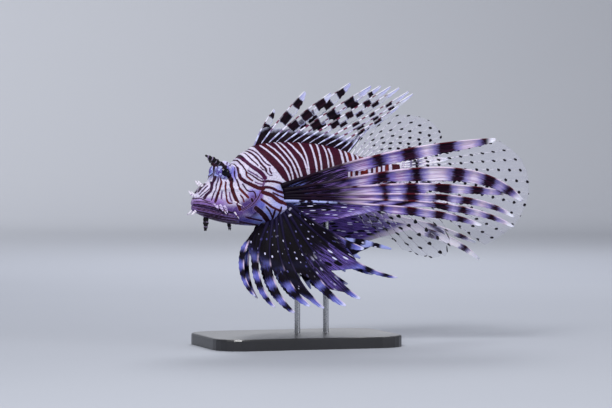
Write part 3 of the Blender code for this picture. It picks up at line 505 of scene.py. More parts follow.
def link(name, mesh, material):
    """New smooth object of this mesh in the scene."""
    obj = bpy.data.objects.new(name, mesh)
    bpy.context.scene.collection.objects.link(obj)
    mesh.materials.append(material)
    mesh.shade_smooth()
    return obj


def make_mesh(name, points, faces, numbers, colours=None):
    """Mesh in metres from points in millimetres, with named numbers and colours per point."""
    mesh = bpy.data.meshes.new(name)
    mesh.from_pydata((np.asarray(points, float) * MM).tolist(), [], [list(f) for f in faces])
    for kind, field, table in (("FLOAT", "value", numbers),
                               ("FLOAT_COLOR", "color", colours or {})):
        for key, values in table.items():
            attribute = mesh.attributes.new(key, kind, "POINT")
            attribute.data.foreach_set(field, np.asarray(values, np.float32).ravel())
    mesh.update()
    return mesh


def grid_faces(rows, columns, offset=0, wrap=False, flip=False):
    """Quads of a grid of points, row after row."""
    i, j = np.meshgrid(np.arange(rows - 1), np.arange(columns if wrap else columns - 1),
                       indexing="ij")
    n = (j + 1) % columns
    quads = np.stack([i * columns + j, i * columns + n, (i + 1) * columns + n,
                      (i + 1) * columns + j], -1).reshape(-1, 4) + offset
    return quads[:, ::-1] if flip else quads


def close_mesh(mesh):
    """Welds points that coincide, such as those at a pole, and turns the faces outwards."""
    bm = bmesh.new()
    bm.from_mesh(mesh)
    bmesh.ops.remove_doubles(bm, verts=bm.verts, dist=1e-7)
    bmesh.ops.recalc_face_normals(bm, faces=bm.faces)
    bm.to_mesh(mesh)
    bm.free()


class Shader:
    """A node material with a Principled shader, and short ways to add nodes to it."""

    def __init__(self, name, **constants):
        self.material = bpy.data.materials.new(name)
        self.material.use_nodes = True
        self.tree = self.material.node_tree
        self.main = self.tree.nodes["Principled BSDF"]
        self.done(**constants)

    def put(self, socket, value):
        """Sets a socket to a number, a colour of 0 to 255 or another node's output."""
        if isinstance(value, bpy.types.NodeSocket):
            self.tree.links.new(value, socket)
        elif isinstance(value, tuple) and len(value) == 3 and socket.type == "RGBA":
            socket.default_value = rgb(*value)
        else:
            socket.default_value = value

    def add(self, kind, sockets, output=0, **settings):
        """Adds a node, fills its sockets and returns one of its outputs."""
        made = self.tree.nodes.new("ShaderNode" + kind)
        for key, value in settings.items():
            setattr(made, key, value)
        for key, value in sockets.items():
            self.put(made.inputs[key], value)
        return made.outputs[output]

    def number(self, key, output="Fac"):
        return self.add("Attribute", {}, output, attribute_name=key)

    def numbers(self, *keys):
        return [self.number(key) for key in keys]

    def math(self, operation, *values, clamp=False):
        return self.add("Math", dict(enumerate(values)), operation=operation, use_clamp=clamp)

    def times(self, *values):
        return reduce(lambda a, b: self.math("MULTIPLY", a, b), values)

    def most(self, *values):
        return reduce(lambda a, b: self.math("MAXIMUM", a, b), values)

    def less(self, value, amount):
        return self.math("SUBTRACT", value, amount)

    def plus(self, value, factor, base):
        """The base with a multiple of the value added."""
        return self.math("MULTIPLY_ADD", value, factor, base)

    def step(self, value, low, high):
        return self.add("MapRange", {"Value": value, "From Min": low, "From Max": high},
                        interpolation_type="SMOOTHSTEP")

    def scale(self, value, to_low, to_high):
        return self.add("MapRange", {"Value": value, "To Min": to_low, "To Max": to_high})

    def mix(self, share, first, second):
        """Mix of two colours."""
        return self.add("Mix", {0: share, 6: first, 7: second}, 2, data_type="RGBA")

    def blend(self, share, first, second):
        """Mix of two numbers."""
        return self.add("Mix", {0: share, 2: first, 3: second}, data_type="FLOAT")

    def place(self):
        """Place on the object in millimetres."""
        metres = self.add("TexCoord", {}, "Object")
        return self.add("VectorMath", {0: metres, "Scale": 1 / MM}, operation="SCALE")

    def vector(self, x, y, z):
        return self.add("CombineXYZ", {0: x, 1: y, 2: z})

    def parts(self, vector):
        return self.add("SeparateXYZ", {0: vector}).node.outputs

    def noise(self, size, detail=2.0, where=None):
        """Noise from 0 to 1 with features of this size in millimetres."""
        where = where or self.place()
        return self.add("TexNoise", {"Vector": where, "Scale": 1 / size, "Detail": detail}, "Fac")

    def wander(self, size, detail, where):
        """The same noise, from -0.5 to 0.5."""
        return self.less(self.noise(size, detail, where), 0.5)

    def cells(self, size, where):
        """Distance to the nearest of scattered points this far apart."""
        return self.add("TexVoronoi", {"Vector": where, "Scale": 1 / size}, "Distance")

    def bump(self, height, depth):
        """Relief of this depth in millimetres from a height of 0 to 1."""
        relief = self.add("Bump", {"Distance": depth * MM, "Height": height})
        self.put(self.main.inputs["Normal"], relief)

    def done(self, **sockets):
        """Fills the main shader's sockets and returns the material."""
        for key, value in sockets.items():
            self.put(self.main.inputs[key.replace("_", " ")], value)
        return self.material


# Skin

RINGS = 520
AROUND = 230  # points on one side, from back to belly
RING_CROWDING = 1.4  # how much closer the rings are at the snout
CORNER_CROWDING = 0.85  # the same for the points where the outline turns
OUTLINE_STEPS = 1201
LIP_FADE_START, LIP_FADE = 4, 8  # ahead of the mouth's corner
SOCKET_INSIDE, SOCKET_OUTSIDE, SOCKET_RISE = 5.5, 8.5, 4
EYE_RIM, EYE_RIM_OFFSET = 0.55, 0.5
EYE_RIM_SIDE = (6, 9)  # from the middle plane, where the rim comes in
SNOUT_END, TAIL_END = (SNOUT_X, 0, SNOUT_Z), (77.4, 0, 120.2)
CAP_SHARES = (0.86, 0.66, 0.4, 0.0)  # sizes of the rings that close each end


def body_rings():
    """X, and for each ring the Y and height of its points and their outward direction."""
    share = np.linspace(0, 1, RINGS)
    xs = SECTIONS[0][0] + (SECTIONS[-1][0] - SECTIONS[0][0]) * share**RING_CROWDING
    top, bottom, half, above, below = section_values(xs)
    t = np.linspace(0, 1, OUTLINE_STEPS)
    angle = np.pi * (t - CORNER_CROWDING * np.sin(4 * np.pi * t) / (4 * np.pi))
    up, out = np.cos(angle), np.abs(np.sin(angle))
    level = bottom + (top - bottom) * WIDEST_SHARE
    ys, zs = np.empty((RINGS, AROUND + 1)), np.empty((RINGS, AROUND + 1))
    for i in range(RINGS):
        height = np.where(up >= 0, top[i] - level[i], level[i] - bottom[i])
        power = np.where(up >= 0, above[i], below[i])
        y = out ** (2 / power) * half[i]
        z = level[i] + np.sign(up) * np.abs(up) ** (2 / power) * height
        y[0], y[-1] = 0, 0
        run = np.concatenate([[0], np.cumsum(np.hypot(np.diff(y), np.diff(z)))])
        even = np.linspace(0, run[-1], AROUND + 1)
        ys[i], zs[i] = np.interp(even, run, y), np.interp(even, run, z)
    level = level[:, None]
    height = np.where(zs >= level, top[:, None] - level, level - bottom[:, None])
    out_y, out_z = ys / half[:, None] ** 2, (zs - level) / height**2
    size = np.maximum(np.hypot(out_y, out_z), 1e-9)
    return xs, ys, zs, out_y / size, out_z / size


def shaped_side():
    """Points of the fish's right half as a grid of rings, with all swellings and relief."""
    xs, y, z, out_y, out_z = body_rings()
    x = np.repeat(xs[:, None], AROUND + 1, axis=1)
    (x0, z0), (x1, z1) = MOUTH_START, MOUTH_END
    run = math.hypot(x1 - x0, z1 - z0)
    off = np.abs((x - x0) * (z1 - z0) - (z - z0) * (x1 - x0)) / run
    fade = np.clip((MOUTH_END[0] - LIP_FADE_START - x) / LIP_FADE, 0, 1)
    lip = LIP_HEIGHT * fade * np.exp(-(((off - LIP_OFFSET) / LIP_SPREAD) ** 2))
    add_y, add_z = out_y * lip, out_z * lip
    for cx, cy, cz, radius, tall, upward in SWELLINGS:
        away = np.sqrt((x - cx) ** 2 + (y - cy) ** 2 + (z - cz) ** 2)
        rise = tall * np.exp(-((away / radius) ** 2))
        add_y += rise * out_y * (1 - upward)
        add_z += rise * (out_z * (1 - upward) + upward)
    relief = head_relief(x, y + add_y, z + add_z)
    points = np.stack([x, y + add_y, z + add_z], -1)
    normal = unit(np.cross(np.gradient(points, axis=0), np.gradient(points, axis=1)))
    points += normal * relief[..., None]
    from_eye = np.hypot(points[..., 0] - EYE_X, points[..., 2] - EYE_Z)
    rise = SOCKET_RISE * smooth_step(from_eye, SOCKET_INSIDE, SOCKET_OUTSIDE)
    limit = EYE_Y + EYE_OPENING + rise
    points[..., 1] = np.minimum(points[..., 1], limit)
    points[:, 0, 1] = points[:, -1, 1] = 0
    return points


def head_relief(x, y, z):
    """Height of the ridges, grooves, gill cover and fin bases over the plain body."""
    relief = np.zeros(x.shape)
    aside = smooth_step(y, *MIDDLE_FADE)
    for course, spread, tall in RIDGES:
        away, _ = course_distance(x, z, course)
        relief += tall * np.exp(-((away / spread) ** 2)) * aside
    away, side = course_distance(x, z, GILL_EDGE)
    ahead = -away * side
    front = smooth_step(ahead, *GILL_RISE) * (1 - smooth_step(ahead, *GILL_FADE))
    relief += GILL_STEP * front * aside * smooth_step(z, *GILL_BOTTOM)
    for *spot, tall in FIN_BASES:
        relief += tall * (1 - smooth_step(from_spot(x, z, *spot), *FIN_BASE_FADE)) * aside
    rim = np.sqrt((x - EYE_X) ** 2 + (y - EYE_Y) ** 2 + (z - EYE_Z) ** 2) - EYE_RADIUS
    rise = EYE_RIM * np.exp(-(((rim - EYE_RIM_OFFSET) / EYE_RIM) ** 2))
    return relief + rise * smooth_step(y, *EYE_RIM_SIDE)


def bar_field(x, z, bars):
    """Signed distance to the nearest bar's edge, negative inside, and that bar's colour."""
    field = np.full(x.shape, FAR)
    tint = np.zeros((*x.shape, 4))
    for tone, width, course in bars:
        away = course_distance(x, z, course)[0] - width / 2
        closer = away < field
        field = np.where(closer, away, field)
        tint[closer] = rgb(*TONES[tone])
    return field, tint


def line_field(x, z):
    """The same for the body: negative in the dark bars, positive in the pale lines."""
    nearest, field = np.full(x.shape, FAR), np.full(x.shape, -FAR)
    before = "maroon"
    tint = np.full((*x.shape, 4), rgb(*TONES[before]))
    for tone, width, course in BODY_LINES:
        (xa, za), (xb, zb) = course[-2:]
        # On to below the belly, leaning less and less
        lean = max(-LINE_LEAN, min(LINE_LEAN, (xb - xa) / (za - zb)))
        longer = (*course, (xb + 6 * lean, zb - 7), (xb + 9 * lean, zb - 16), (xb + 9 * lean, 78))
        away, side = course_distance(x, z, longer)
        closer = away < nearest
        nearest = np.where(closer, away, nearest)
        field = np.where(closer, width / 2 - away, field)
        tint[closer & (side > 0)] = rgb(*TONES[tone])
        tint[closer & (side <= 0)] = rgb(*TONES[before])
        before = tone
    return field, tint


def skin_colours(points):
    """Pale field, dark tint and pale tint, with painted shade low on the head and breast, for each
    point of the skin.
    """
    x, y, z = points[..., 0], points[..., 1], points[..., 2]
    field, tint = bar_field(x, z, HEAD_BARS)
    between_eyes = (x < FOREHEAD_BACK) & (y < FOREHEAD_HALF_WIDTH) & (z > FOREHEAD_BOTTOM)
    behind = course_distance(x, z, HEAD_EDGE)[1] > 0
    for here, (other_field, other_tint) in ((between_eyes, bar_field(y, z, FOREHEAD_BARS)),
                                            (behind, line_field(x, z))):
        field = np.where(here, other_field, field)
        tint = np.where(here[..., None], other_tint, tint)
    pale = np.full((*x.shape, 4), rgb(*PALE_BASE))
    # The patches tint the pale ground; the dark purple ones low on the jaw, gill membrane and
    # breast are painted shade.
    for *spot, colour in PALE_PATCHES_AND_SHADE:
        share = (1 - smooth_step(from_spot(x, z, *spot), 0.4, 1.3))[..., None]
        pale = pale * (1 - share) + np.array(rgb(*colour)) * share
    return field, tint, pale


def skin_material():
    """Dark bars on the pale ground, both finely mottled, over small scales."""
    s = Shader("skin", Subsurface_Weight=0.04, Subsurface_Scale=0.002, Coat_Weight=0.04,
               Coat_Roughness=0.3, Specular_IOR_Level=0.12)
    place = s.place()
    field = s.plus(s.wander(2.0, 3.0, place), 0.8, s.number("pale"))
    pale = s.step(field, -0.2, 0.2)
    mottle, fine = s.noise(4.0, 4.0, place), s.noise(0.9, 3.0, place)
    dark = s.mix(s.scale(mottle, -0.2, 0.7), s.number("dark_tint", "Color"), (34, 8, 24))
    dark = s.mix(s.scale(fine, -0.35, 0.42), dark, (116, 38, 66))
    dark = s.mix(s.times(s.step(field, -0.9, -0.15), 0.55), dark, (40, 8, 26))
    light = s.mix(s.scale(fine, -0.3, 0.5), s.number("pale_tint", "Color"), (168, 146, 200))
    shade = s.less(1.0, s.step(field, 0.0, 0.7))
    light = s.mix(s.times(shade, 0.35), light, (170, 140, 196))
    cells = s.cells(1.1, place)
    colour = s.mix(s.scale(cells, -0.05, 0.3), s.mix(pale, dark, light), (44, 18, 44))
    height = s.plus(pale, 0.5, s.math("ADD", s.times(cells, -0.8), s.noise(0.6, 2.0, place)))
    s.bump(height, 0.18)
    return s.done(Base_Color=colour, Roughness=s.scale(s.noise(3.0, 3.0, place), 0.38, 0.62))


def cap(ring, target):
    """Rings that close the body's end, from near its last ring to one point."""
    centre = np.array(target)
    rings = []
    for share in CAP_SHARES:
        shrunk = centre + (ring - centre) * share
        shrunk[:, 0] = target[0] + (ring[:, 0] - target[0]) * (1 - math.sqrt(1 - share**2))
        rings.append(shrunk)
    return rings


def all_round(side, mirror=1):
    """Values of one side's points with those of the other side after them in each ring."""
    return np.concatenate([side, side[:, -2:0:-1] * mirror], axis=1)


def make_skin():
    """One closed skin over head, jaw, trunk, tail stalk and gill covers."""
    right = shaped_side()
    ring = all_round(right, np.array((1, -1, 1)))
    grid = np.concatenate([cap(ring[0], SNOUT_END)[::-1], ring, cap(ring[-1], TAIL_END)])
    row = np.clip(np.arange(len(grid)) - len(CAP_SHARES), 0, RINGS - 1)
    field, tint, pale = (all_round(values)[row] for values in skin_colours(right))
    mesh = make_mesh("skin", grid.reshape(-1, 3), grid_faces(*grid.shape[:2], wrap=True),
                     {"pale": field}, {"dark_tint": tint, "pale_tint": pale})
    close_mesh(mesh)
    skin = link("skin", mesh, skin_material())
    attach(skin, "root")
    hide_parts("head", "lower_jaw", "torso", "tail_stalk", "gill_cover_left",
                "gill_cover_right")


# Eyes

EYE_RINGS, EYE_AROUND = 72, 96
EYE_BULGE, EYE_BULGE_WIDTH = 0.05, 0.6  # of the cornea: share of the radius, radians
EYE_DARK_TURNS = (106, -44)  # degrees up from the tail's side, where the dark stripe crosses
EYE_BLOTCHES = (  # pale spots of the iris: x and height from the eye's centre, radius
    (-3.2, 3.3, 1.0), (-4.2, 1.8, 0.7), (-3.6, -1.4, 0.7), (-1.9, -3.3, 1.0), (0.7, -4.2, 0.9),
    (2.8, 3.2, 0.4), (3.4, 2.6, 0.4), (3.8, 1.9, 0.4), (4.0, 1.1, 0.4), (4.1, 0.2, 0.4),
)


def eye_material():
    """Dark pupil and stripe, and a speckled iris with pale spots."""
    s = Shader("eye", Coat_Weight=0.1, Coat_Roughness=0.04, Specular_IOR_Level=0.16)
    place = s.place()
    radius = s.number("from_pupil")
    fine = s.noise(0.7, 3.0, place)
    light = s.step(s.plus(s.wander(2.4, 2.0, place), 0.9, s.number("light")), 0.4, 0.6)
    ground = s.mix(s.step(fine, 0.4, 0.62), (60, 46, 124), (134, 126, 206))
    blotch = s.step(s.plus(s.wander(1.2, 4.0, place), 1.4, s.number("blotch")), 0.25, 0.75)
    iris = s.mix(light, s.mix(fine, (10, 5, 16), (34, 16, 28)), ground)
    iris = s.mix(s.times(blotch, 0.8), iris, (186, 196, 244))
    colour = s.mix(s.step(radius, 2.65, 2.9), (2, 2, 16), iris)
    s.bump(s.step(radius, 2.5, 3.2), 0.12)
    return s.done(Base_Color=colour, Roughness=s.scale(fine, 0.08, 0.2))


def make_eyes():
    """Glossy eyeballs with a dark pupil and a pale iris that a dark stripe crosses."""
    material = eye_material()
    t = np.linspace(0, np.pi, EYE_RINGS)[:, None]
    turn = np.linspace(0, math.tau, EYE_AROUND, endpoint=False)[None]
    full = np.ones((EYE_RINGS, EYE_AROUND))
    bulge = 1 + EYE_BULGE * np.exp(-((t / EYE_BULGE_WIDTH) ** 2))
    light = full.copy()
    for middle in EYE_DARK_TURNS:
        away = np.abs((np.degrees(turn) - middle + 180) % 360 - 180)
        light *= smooth_step(away, 20, 44)
    for name, side in (("eye_left", -1), ("eye_right", 1)):
        local = np.stack([np.sin(t) * np.cos(turn), side * np.cos(t) * bulge * full,
                          np.sin(t) * np.sin(turn)], -1) * EYE_RADIUS
        points = (local + np.array((EYE_X, side * EYE_Y, EYE_Z))).reshape(-1, 3)
        radius = np.sin(np.minimum(t, np.pi / 2)) * EYE_RADIUS * full
        blotch = np.zeros(full.shape)
        for x, z, size in EYE_BLOTCHES:
            away = np.hypot(local[..., 0] - x, local[..., 2] - z)
            blotch = np.maximum(blotch, 1 - smooth_step(away, size - 0.6, size + 0.6))
        mesh = make_mesh(name, points, grid_faces(EYE_RINGS, EYE_AROUND, wrap=True),
                         {"from_pupil": radius, "light": light, "blotch": blotch})
        close_mesh(mesh)
        eye = link(name, mesh, material)
        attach(eye, "root")
        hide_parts(name)


# Fins

NO_BAND = -99.0
FIN_DEFAULTS = {
    "flare": (0, 0),  # degrees outwards of the upper and the lower rays
    "depth": None,  # how deep in the body a paired fin's rays start
    "sway": 0.0,  # degrees outwards in the middle of a ray
    "kick": 0.0,  # degrees outwards at its root
    "alternate": 0.0,  # degrees by which every other ray leans to the other side
    "planar": False,  # vanes in the fish's middle plane
    "skin": 0.16,  # half thickness of the web
    "root": 0.0,  # how much thicker a ray is at its root
}
WEB_ROOT, WEB_EDGE = 0.9, 0.6  # added half thickness at the root, share lost at a free edge
WEB_ROOT_FADE, RAY_ROOT_FADE = 8, 14  # powers by which web and ray grow thin from the root
CUP = 0.07  # depth of the web's hollow as a share of its width
JOIN_LENGTH = 9  # over which a web's edge leaves the next ray
KICK_LENGTH = 0.06  # share of a ray over which its kick fades
FLARE_START, FLARE_STEP = 0.35, 0.2  # of the fan, where the flare turns to the lower rays'
VANE_LIMIT = 0.86  # widest vane as a share of the way to the next ray
VANE_NECK, VANE_RISE = 0.45, 0.12  # share of its width at the web's end, length it grows over
VANE_POINT, VANE_FALL = 0.55, 0.46  # where on the ray it starts to narrow, and over how much
VANE_LEAST = 0.3
WOBBLE, WOBBLE_RATE = 0.05, 1.7  # of its edge: share of the width, radians per millimetre
TIP_TAPER = (0.9, 0.75, 0.55, 0.3)  # of the radius at a ray's last points


def ray_shares(steps):
    """Shares of a ray's length, closer together at both ends."""
    even = np.linspace(0, 1, steps + 1)
    return even - 0.3 * np.sin(math.tau * even) / math.tau


def ray_path(row, start, flare, shape):
    """Points from a ray's root to its tip, as in the part."""
    x, z, first, last, bend, length = row[:6]
    side = -1 if start < 0 else 1
    shares = ray_shares(shape["steps"])
    point = Vector((x, start, z))
    points = []
    for k, share in enumerate(shares):
        middle = (share + shares[k - 1]) / 2 if k else 0.0
        aim = math.radians(first + (last - first) * middle**bend)
        out = (flare + shape["sway"] * math.sin(math.pi * middle)
               + shape["kick"] * math.exp(-middle / KICK_LENGTH))
        flat = math.cos(math.radians(out))
        along = Vector((math.cos(aim) * flat, side * math.sin(math.radians(out)),
                        math.sin(aim) * flat))
        point = point + along * (length * (share - shares[k - 1]) if k else -shape["sunk"])
        if k == 1:
            point = point + along * shape["sunk"]
        points.append(tuple(point))
    return points


def vane_width(share, web, width):
    """Width of a ray's free vane, which grows from the web and ends in a point."""
    rise = np.clip((share - web) / VANE_RISE, 0, 1)
    fall = np.sqrt(np.clip(1 - (np.maximum(share - VANE_POINT, 0) / VANE_FALL) ** 2, 0, 1))
    return np.maximum(VANE_LEAST, width * (VANE_NECK + (1 - VANE_NECK) * rise) * fall)


def fin_paths(name, rows, shape, count):
    """Each ray's points at count + 1 even shares of its length."""
    side = 1 if name.endswith("right") else -1
    near, far = shape["flare"]
    even = np.linspace(0, 1, count + 1)
    paths = []
    for i, row in enumerate(rows):
        spread = min(1.0, max(0.0, (i / (len(rows) - 1) - FLARE_START) / FLARE_STEP))
        out = near + (far - near) * spread + shape["alternate"] * (1 if i % 2 else -1)
        start = 0.0
        if shape["depth"]:
            start = side * (half_width_at(row[0], row[1]) - shape["depth"])
        path = ray_path(row, start, out, shape)
        paths.append(spline(path, ray_shares(shape["steps"]), even))
    return paths


class Pile:
    """Collects closed surfaces and their numbers into one mesh."""

    def __init__(self):
        self.points, self.faces, self.numbers, self.count = [], [], {}, 0

    def add(self, points, faces, numbers):
        flat = points.reshape(-1, 3)
        self.points.append(flat)
        self.faces.append(np.asarray(faces) + self.count)
        for key, value in numbers.items():
            full = np.broadcast_to(np.asarray(value, float), points.shape[:-1]).ravel()
            self.numbers.setdefault(key, []).append(full)
        self.count += len(flat)

    def mesh(self, name):
        numbers = {key: np.concatenate(parts) for key, parts in self.numbers.items()}
        return make_mesh(name, np.concatenate(self.points), np.concatenate(self.faces), numbers)


def sheet(pile, grid, half, numbers):
    """Closed thin sheet round a grid of points, with this half thickness at each point."""
    rows, columns = grid.shape[:2]
    normal = unit(np.cross(np.gradient(grid, axis=0), np.gradient(grid, axis=1)))
    both = np.stack([grid + normal * half[..., None], grid - normal * half[..., None]])
    size = rows * columns
    faces = [grid_faces(rows, columns), grid_faces(rows, columns, size, flip=True)]
    index = np.arange(size).reshape(rows, columns)
    for edge, turned in ((index[0], True), (index[-1], False), (index[:, 0], False),
                         (index[:, -1], True)):
        rim = np.stack([edge[:-1], edge[1:], edge[1:] + size, edge[:-1] + size], -1)
        faces.append(rim[:, ::-1] if turned else rim)
    pile.add(both, np.concatenate(faces), numbers)


def tube(pile, path, radius, numbers, sides=10, flat=1.0):
    """Closed tube along a path; flat squeezes it across the sheet."""
    tangent = unit(np.gradient(path, axis=0))
    first = unit(np.cross(tangent, np.array((0.0, 1.0, 0.0))))
    second = np.cross(tangent, first)
    turn = np.linspace(0, math.tau, sides, endpoint=False)
    ring = (first[:, None] * np.cos(turn)[None, :, None]
            + second[:, None] * np.sin(turn)[None, :, None] * flat)
    points = path[:, None] + ring * radius[:, None, None]
    points = np.concatenate([np.repeat(path[:1, None], sides, 1), points,
                             np.repeat(path[-1:, None], sides, 1)])
    spread = {key: np.pad(np.broadcast_to(value, (len(path), 1)), ((1, 1), (0, 0)), mode="edge")
              for key, value in numbers.items()}
    pile.add(points, grid_faces(len(points), sides, wrap=True), spread)


def in_bands(run, bands):
    """Distance inside the nearest band, negative outside every band."""
    field = np.full(run.shape, NO_BAND)
    for first, last in bands:
        field = np.maximum(field, (last - first) / 2 - np.abs(run - (first + last) / 2))
    return field


def web_edge(paths, i, row, share, planar, seed):
    """Far edge of a ray's web, how much it is joined to the next ray, and its flat direction."""
    path, (length, web, width) = paths[i], row[5:8]
    lone = i == len(paths) - 1
    tangent = unit(np.gradient(path, axis=0))
    other = path - paths[i - 1] if lone else paths[i + 1] - path
    across = other - tangent * np.sum(other * tangent, 1, keepdims=True)
    if planar:
        across = np.stack([tangent[:, 2], 0 * share, -tangent[:, 0]], -1)
    aside = unit(across)
    wobble = WOBBLE * np.sin(share * length * WOBBLE_RATE + 6 * seed) * (share > web)
    free = vane_width(share, web, width) * (1 + wobble)
    if not (planar or lone):
        free = np.minimum(free, VANE_LIMIT * np.linalg.norm(across, axis=1))
    edge = path + aside * free[:, None]
    joined = np.full(len(share), 0.0 if lone else 1.0)
    if not lone:
        if web < 1:
            joined = 1 - smooth_step(share, web, web + JOIN_LENGTH / length)
        edge = edge * (1 - joined[:, None]) + paths[i + 1] * joined[:, None]
    return edge, joined, unit(np.cross(tangent, aside))


def fin_geometry(name, rows, shape, bands, count, columns):
    """Round rays and thin webs of one fin in one mesh."""
    shape = {**FIN_DEFAULTS, **shape}
    pile = Pile()
    seeds = np.random.default_rng(len(name) * 31 + len(rows)).random(len(rows) + 1)
    paths = fin_paths(name, rows, shape, count)
    share = np.linspace(0, 1, count + 1)
    last = len(rows) - 1
    reach = np.linspace(0, 1, columns)[None]
    along = share[:, None]
    for i, path in enumerate(paths):
        after = min(i + 1, last)
        edge, joined, normal = web_edge(paths, i, rows[i], share, shape["planar"], seeds[i])
        join, gap = joined[:, None], np.linalg.norm(edge - path, axis=1)[:, None]
        cup = CUP * gap * np.sin(np.pi * reach) * (0.4 + 0.6 * (1 - join))
        grid = path[:, None] + (edge - path)[:, None] * reach[..., None]
        grid = grid + normal[:, None] * cup[..., None]
        half = shape["skin"] + WEB_ROOT * (1 - along) ** WEB_ROOT_FADE * (1 - reach * 0.3)
        half = half * np.where(join > 0.5, 1, 1 - WEB_EDGE * reach)
        run = along * rows[i][5]
        field, field_after = (in_bands(run, bands[k] if bands else ()) for k in (i, after))
        nearer = reach * join
        numbers = {"run": run, "run_after": along * rows[after][5], "off": gap * reach, "gap": gap,
                   "band": field * (1 - nearer) + field_after * nearer, "web": join,
                   "share": along, "ray": 0.0, "seed": seeds[i], "seed_after": seeds[i + 1],
                   "order": i / last}
        sheet(pile, grid, half, numbers)
        thick, thin = shape["ray"]
        radius = thick + (thin - thick) * share
        radius[-len(TIP_TAPER):] *= TIP_TAPER
        numbers.update({"run_after": run, "off": 0.0, "band": field, "ray": 1.0,
                        "seed_after": seeds[i]})
        tube(pile, path, radius + shape["root"] * (1 - share) ** RAY_ROOT_FADE, numbers)
    return pile.mesh(name)


def ray_place(s, stretch, shift):
    """Place on a web, drawn out along the ray; the shift keeps the rays from looking alike."""
    run, off, seed = s.numbers("run", "off", "seed")
    return s.vector(s.times(run, stretch), off, s.times(seed, shift))


def strip_lines(s, size=0.42):
    """Fine lines that run along a fin ray's web."""
    return s.noise(size, 2.0, ray_place(s, 0.035, 40.0))


def spotted(s, base, size, low, high):
    """Base colour with small spots, some bright and most dim, drawn out along the rays."""
    spots = s.step(s.cells(size, ray_place(s, 0.62, 60.0)), high, low)
    bright = s.step(s.noise(9.0, 2.0), 0.46, 0.6)
    return s.mix(spots, base, s.mix(bright, (64, 62, 122), (214, 212, 244)))


def mottled(s, lines, purple):
    """Black web with purple streaks that grow outward, black blotches and white dashes."""
    outward = s.math("DIVIDE", s.number("run"), 60.0, clamp=True)
    field = s.mix(s.step(s.plus(outward, 0.3, lines), 0.7, 0.82), (8, 4, 16), purple)
    blotch = s.step(s.cells(7.0, ray_place(s, 0.6, 30.0)), 0.34, 0.25)
    dash = s.step(s.cells(3.4, ray_place(s, 0.35, 17.0)), 0.26, 0.17)
    return s.mix(dash, s.mix(blotch, field, (6, 3, 12)), (216, 216, 248))


def banded_rays(s, lines, wander, lower, blotched_with_painted_light):
    """Pale streaked rays with soft dark bands, broad painted highlight streaks and a painted
    shadow line beside each ray; their far end is a little whiter, and blotched_with_painted_light
    makes it much whiter, painted light on a fan that lies in shade.
    """
    run, off, ray, band = s.numbers("run", "off", "ray", "band")
    band = s.plus(s.less(lines, 0.5), 8.0, s.plus(wander, 4.0, band))
    pale = s.mix(s.step(lines, 0.38, 0.58), (92, 62, 124), (198, 186, 228))
    # Painted highlight: broad bright streaks along the webs.
    bright = s.step(strip_lines(s, 1.1), 0.5, 0.64)
    pale = s.mix(s.times(bright, 0.8), pale, (234, 228, 248))
    pale = s.mix(s.scale(s.noise(16.0), -0.5, 1.0), pale, (158, 104, 158))
    # Painted shadow: a dark line on the web just beside each ray.
    painted_shadow_line = s.times(s.step(off, 0.7, 1.1), s.step(off, 3.0, 1.8), 0.5)
    pale = s.mix(painted_shadow_line, pale, (70, 38, 86))
    # Painted light: the rays' far ends turn whiter, much more on the right fan, whose long rays
    # lie in shade.
    far = s.times(s.step(run, 88.0, 104.0), 0.95 if blotched_with_painted_light else 0.3)
    pale = s.mix(far, pale, (252, 246, 255))
    pale = s.mix(lower, pale, s.mix(s.step(lines, 0.36, 0.6), (76, 84, 176), (170, 178, 234)))
    halo = s.times(s.step(band, -4.5 if blotched_with_painted_light else -8.0, -1.0), 0.7)
    pale = s.mix(halo, pale, (74, 70, 164))
    pale = s.mix(s.times(ray, 0.7), pale, s.mix(far, (230, 206, 230), (250, 236, 248)))
    ink = s.mix(lower, (50, 16, 42), (16, 10, 30))
    black = s.mix(s.step(lines, 0.44, 0.72), (8, 3, 14), ink)
    black = s.mix(s.times(ray, s.less(1.0, lower), 0.6), black, (96, 26, 36))
    return s.mix(s.step(band, -2.6, 2.2), pale, black)


def dark_root(s, colour, lines, upper):
    """Rays that turn black towards the root, where fewer pale streaks are left."""
    run, ray = s.numbers("run", "ray")
    near_root = s.less(1.0, s.math("DIVIDE", run, 64.0, clamp=True))
    streak = s.mix(s.step(s.plus(near_root, -0.26, lines), 0.4, 0.52), (8, 3, 14), (118, 88, 160))
    streak = s.mix(ray, streak, (24, 12, 30))
    rooted = s.times(s.less(1.0, s.step(run, 34.0, 62.0)), upper, 0.96)
    return s.mix(rooted, colour, streak)


def fleshy_root(s, colour, wander, upper):
    """Dark skin with fine blue lines over the first millimetres."""
    run, ray = s.numbers("run", "ray")
    skin = s.mix(s.step(strip_lines(s, 0.24), 0.54, 0.62), (14, 6, 18), (116, 128, 214))
    skin = s.mix(ray, skin, (16, 8, 22))
    return s.mix(s.times(s.step(s.plus(wander, 8.0, run), 16.0, 6.0), upper), colour, skin)


def inky_web(s, lines):
    """Black web with small spots, mottled far out on its upper rays."""
    run, order, ray = s.numbers("run", "order", "ray")
    inky = s.mix(s.step(lines, 0.5, 0.7), (5, 2, 9), (16, 10, 30))
    inky = spotted(s, inky, 3.0, 0.15, 0.23)
    outer = s.times(s.step(run, 34.0, 48.0), s.step(order, 0.62, 0.54), 0.9)
    inky = s.mix(outer, inky, mottled(s, lines, (104, 84, 166)))
    return s.mix(s.times(ray, 0.4), inky, (40, 34, 74))


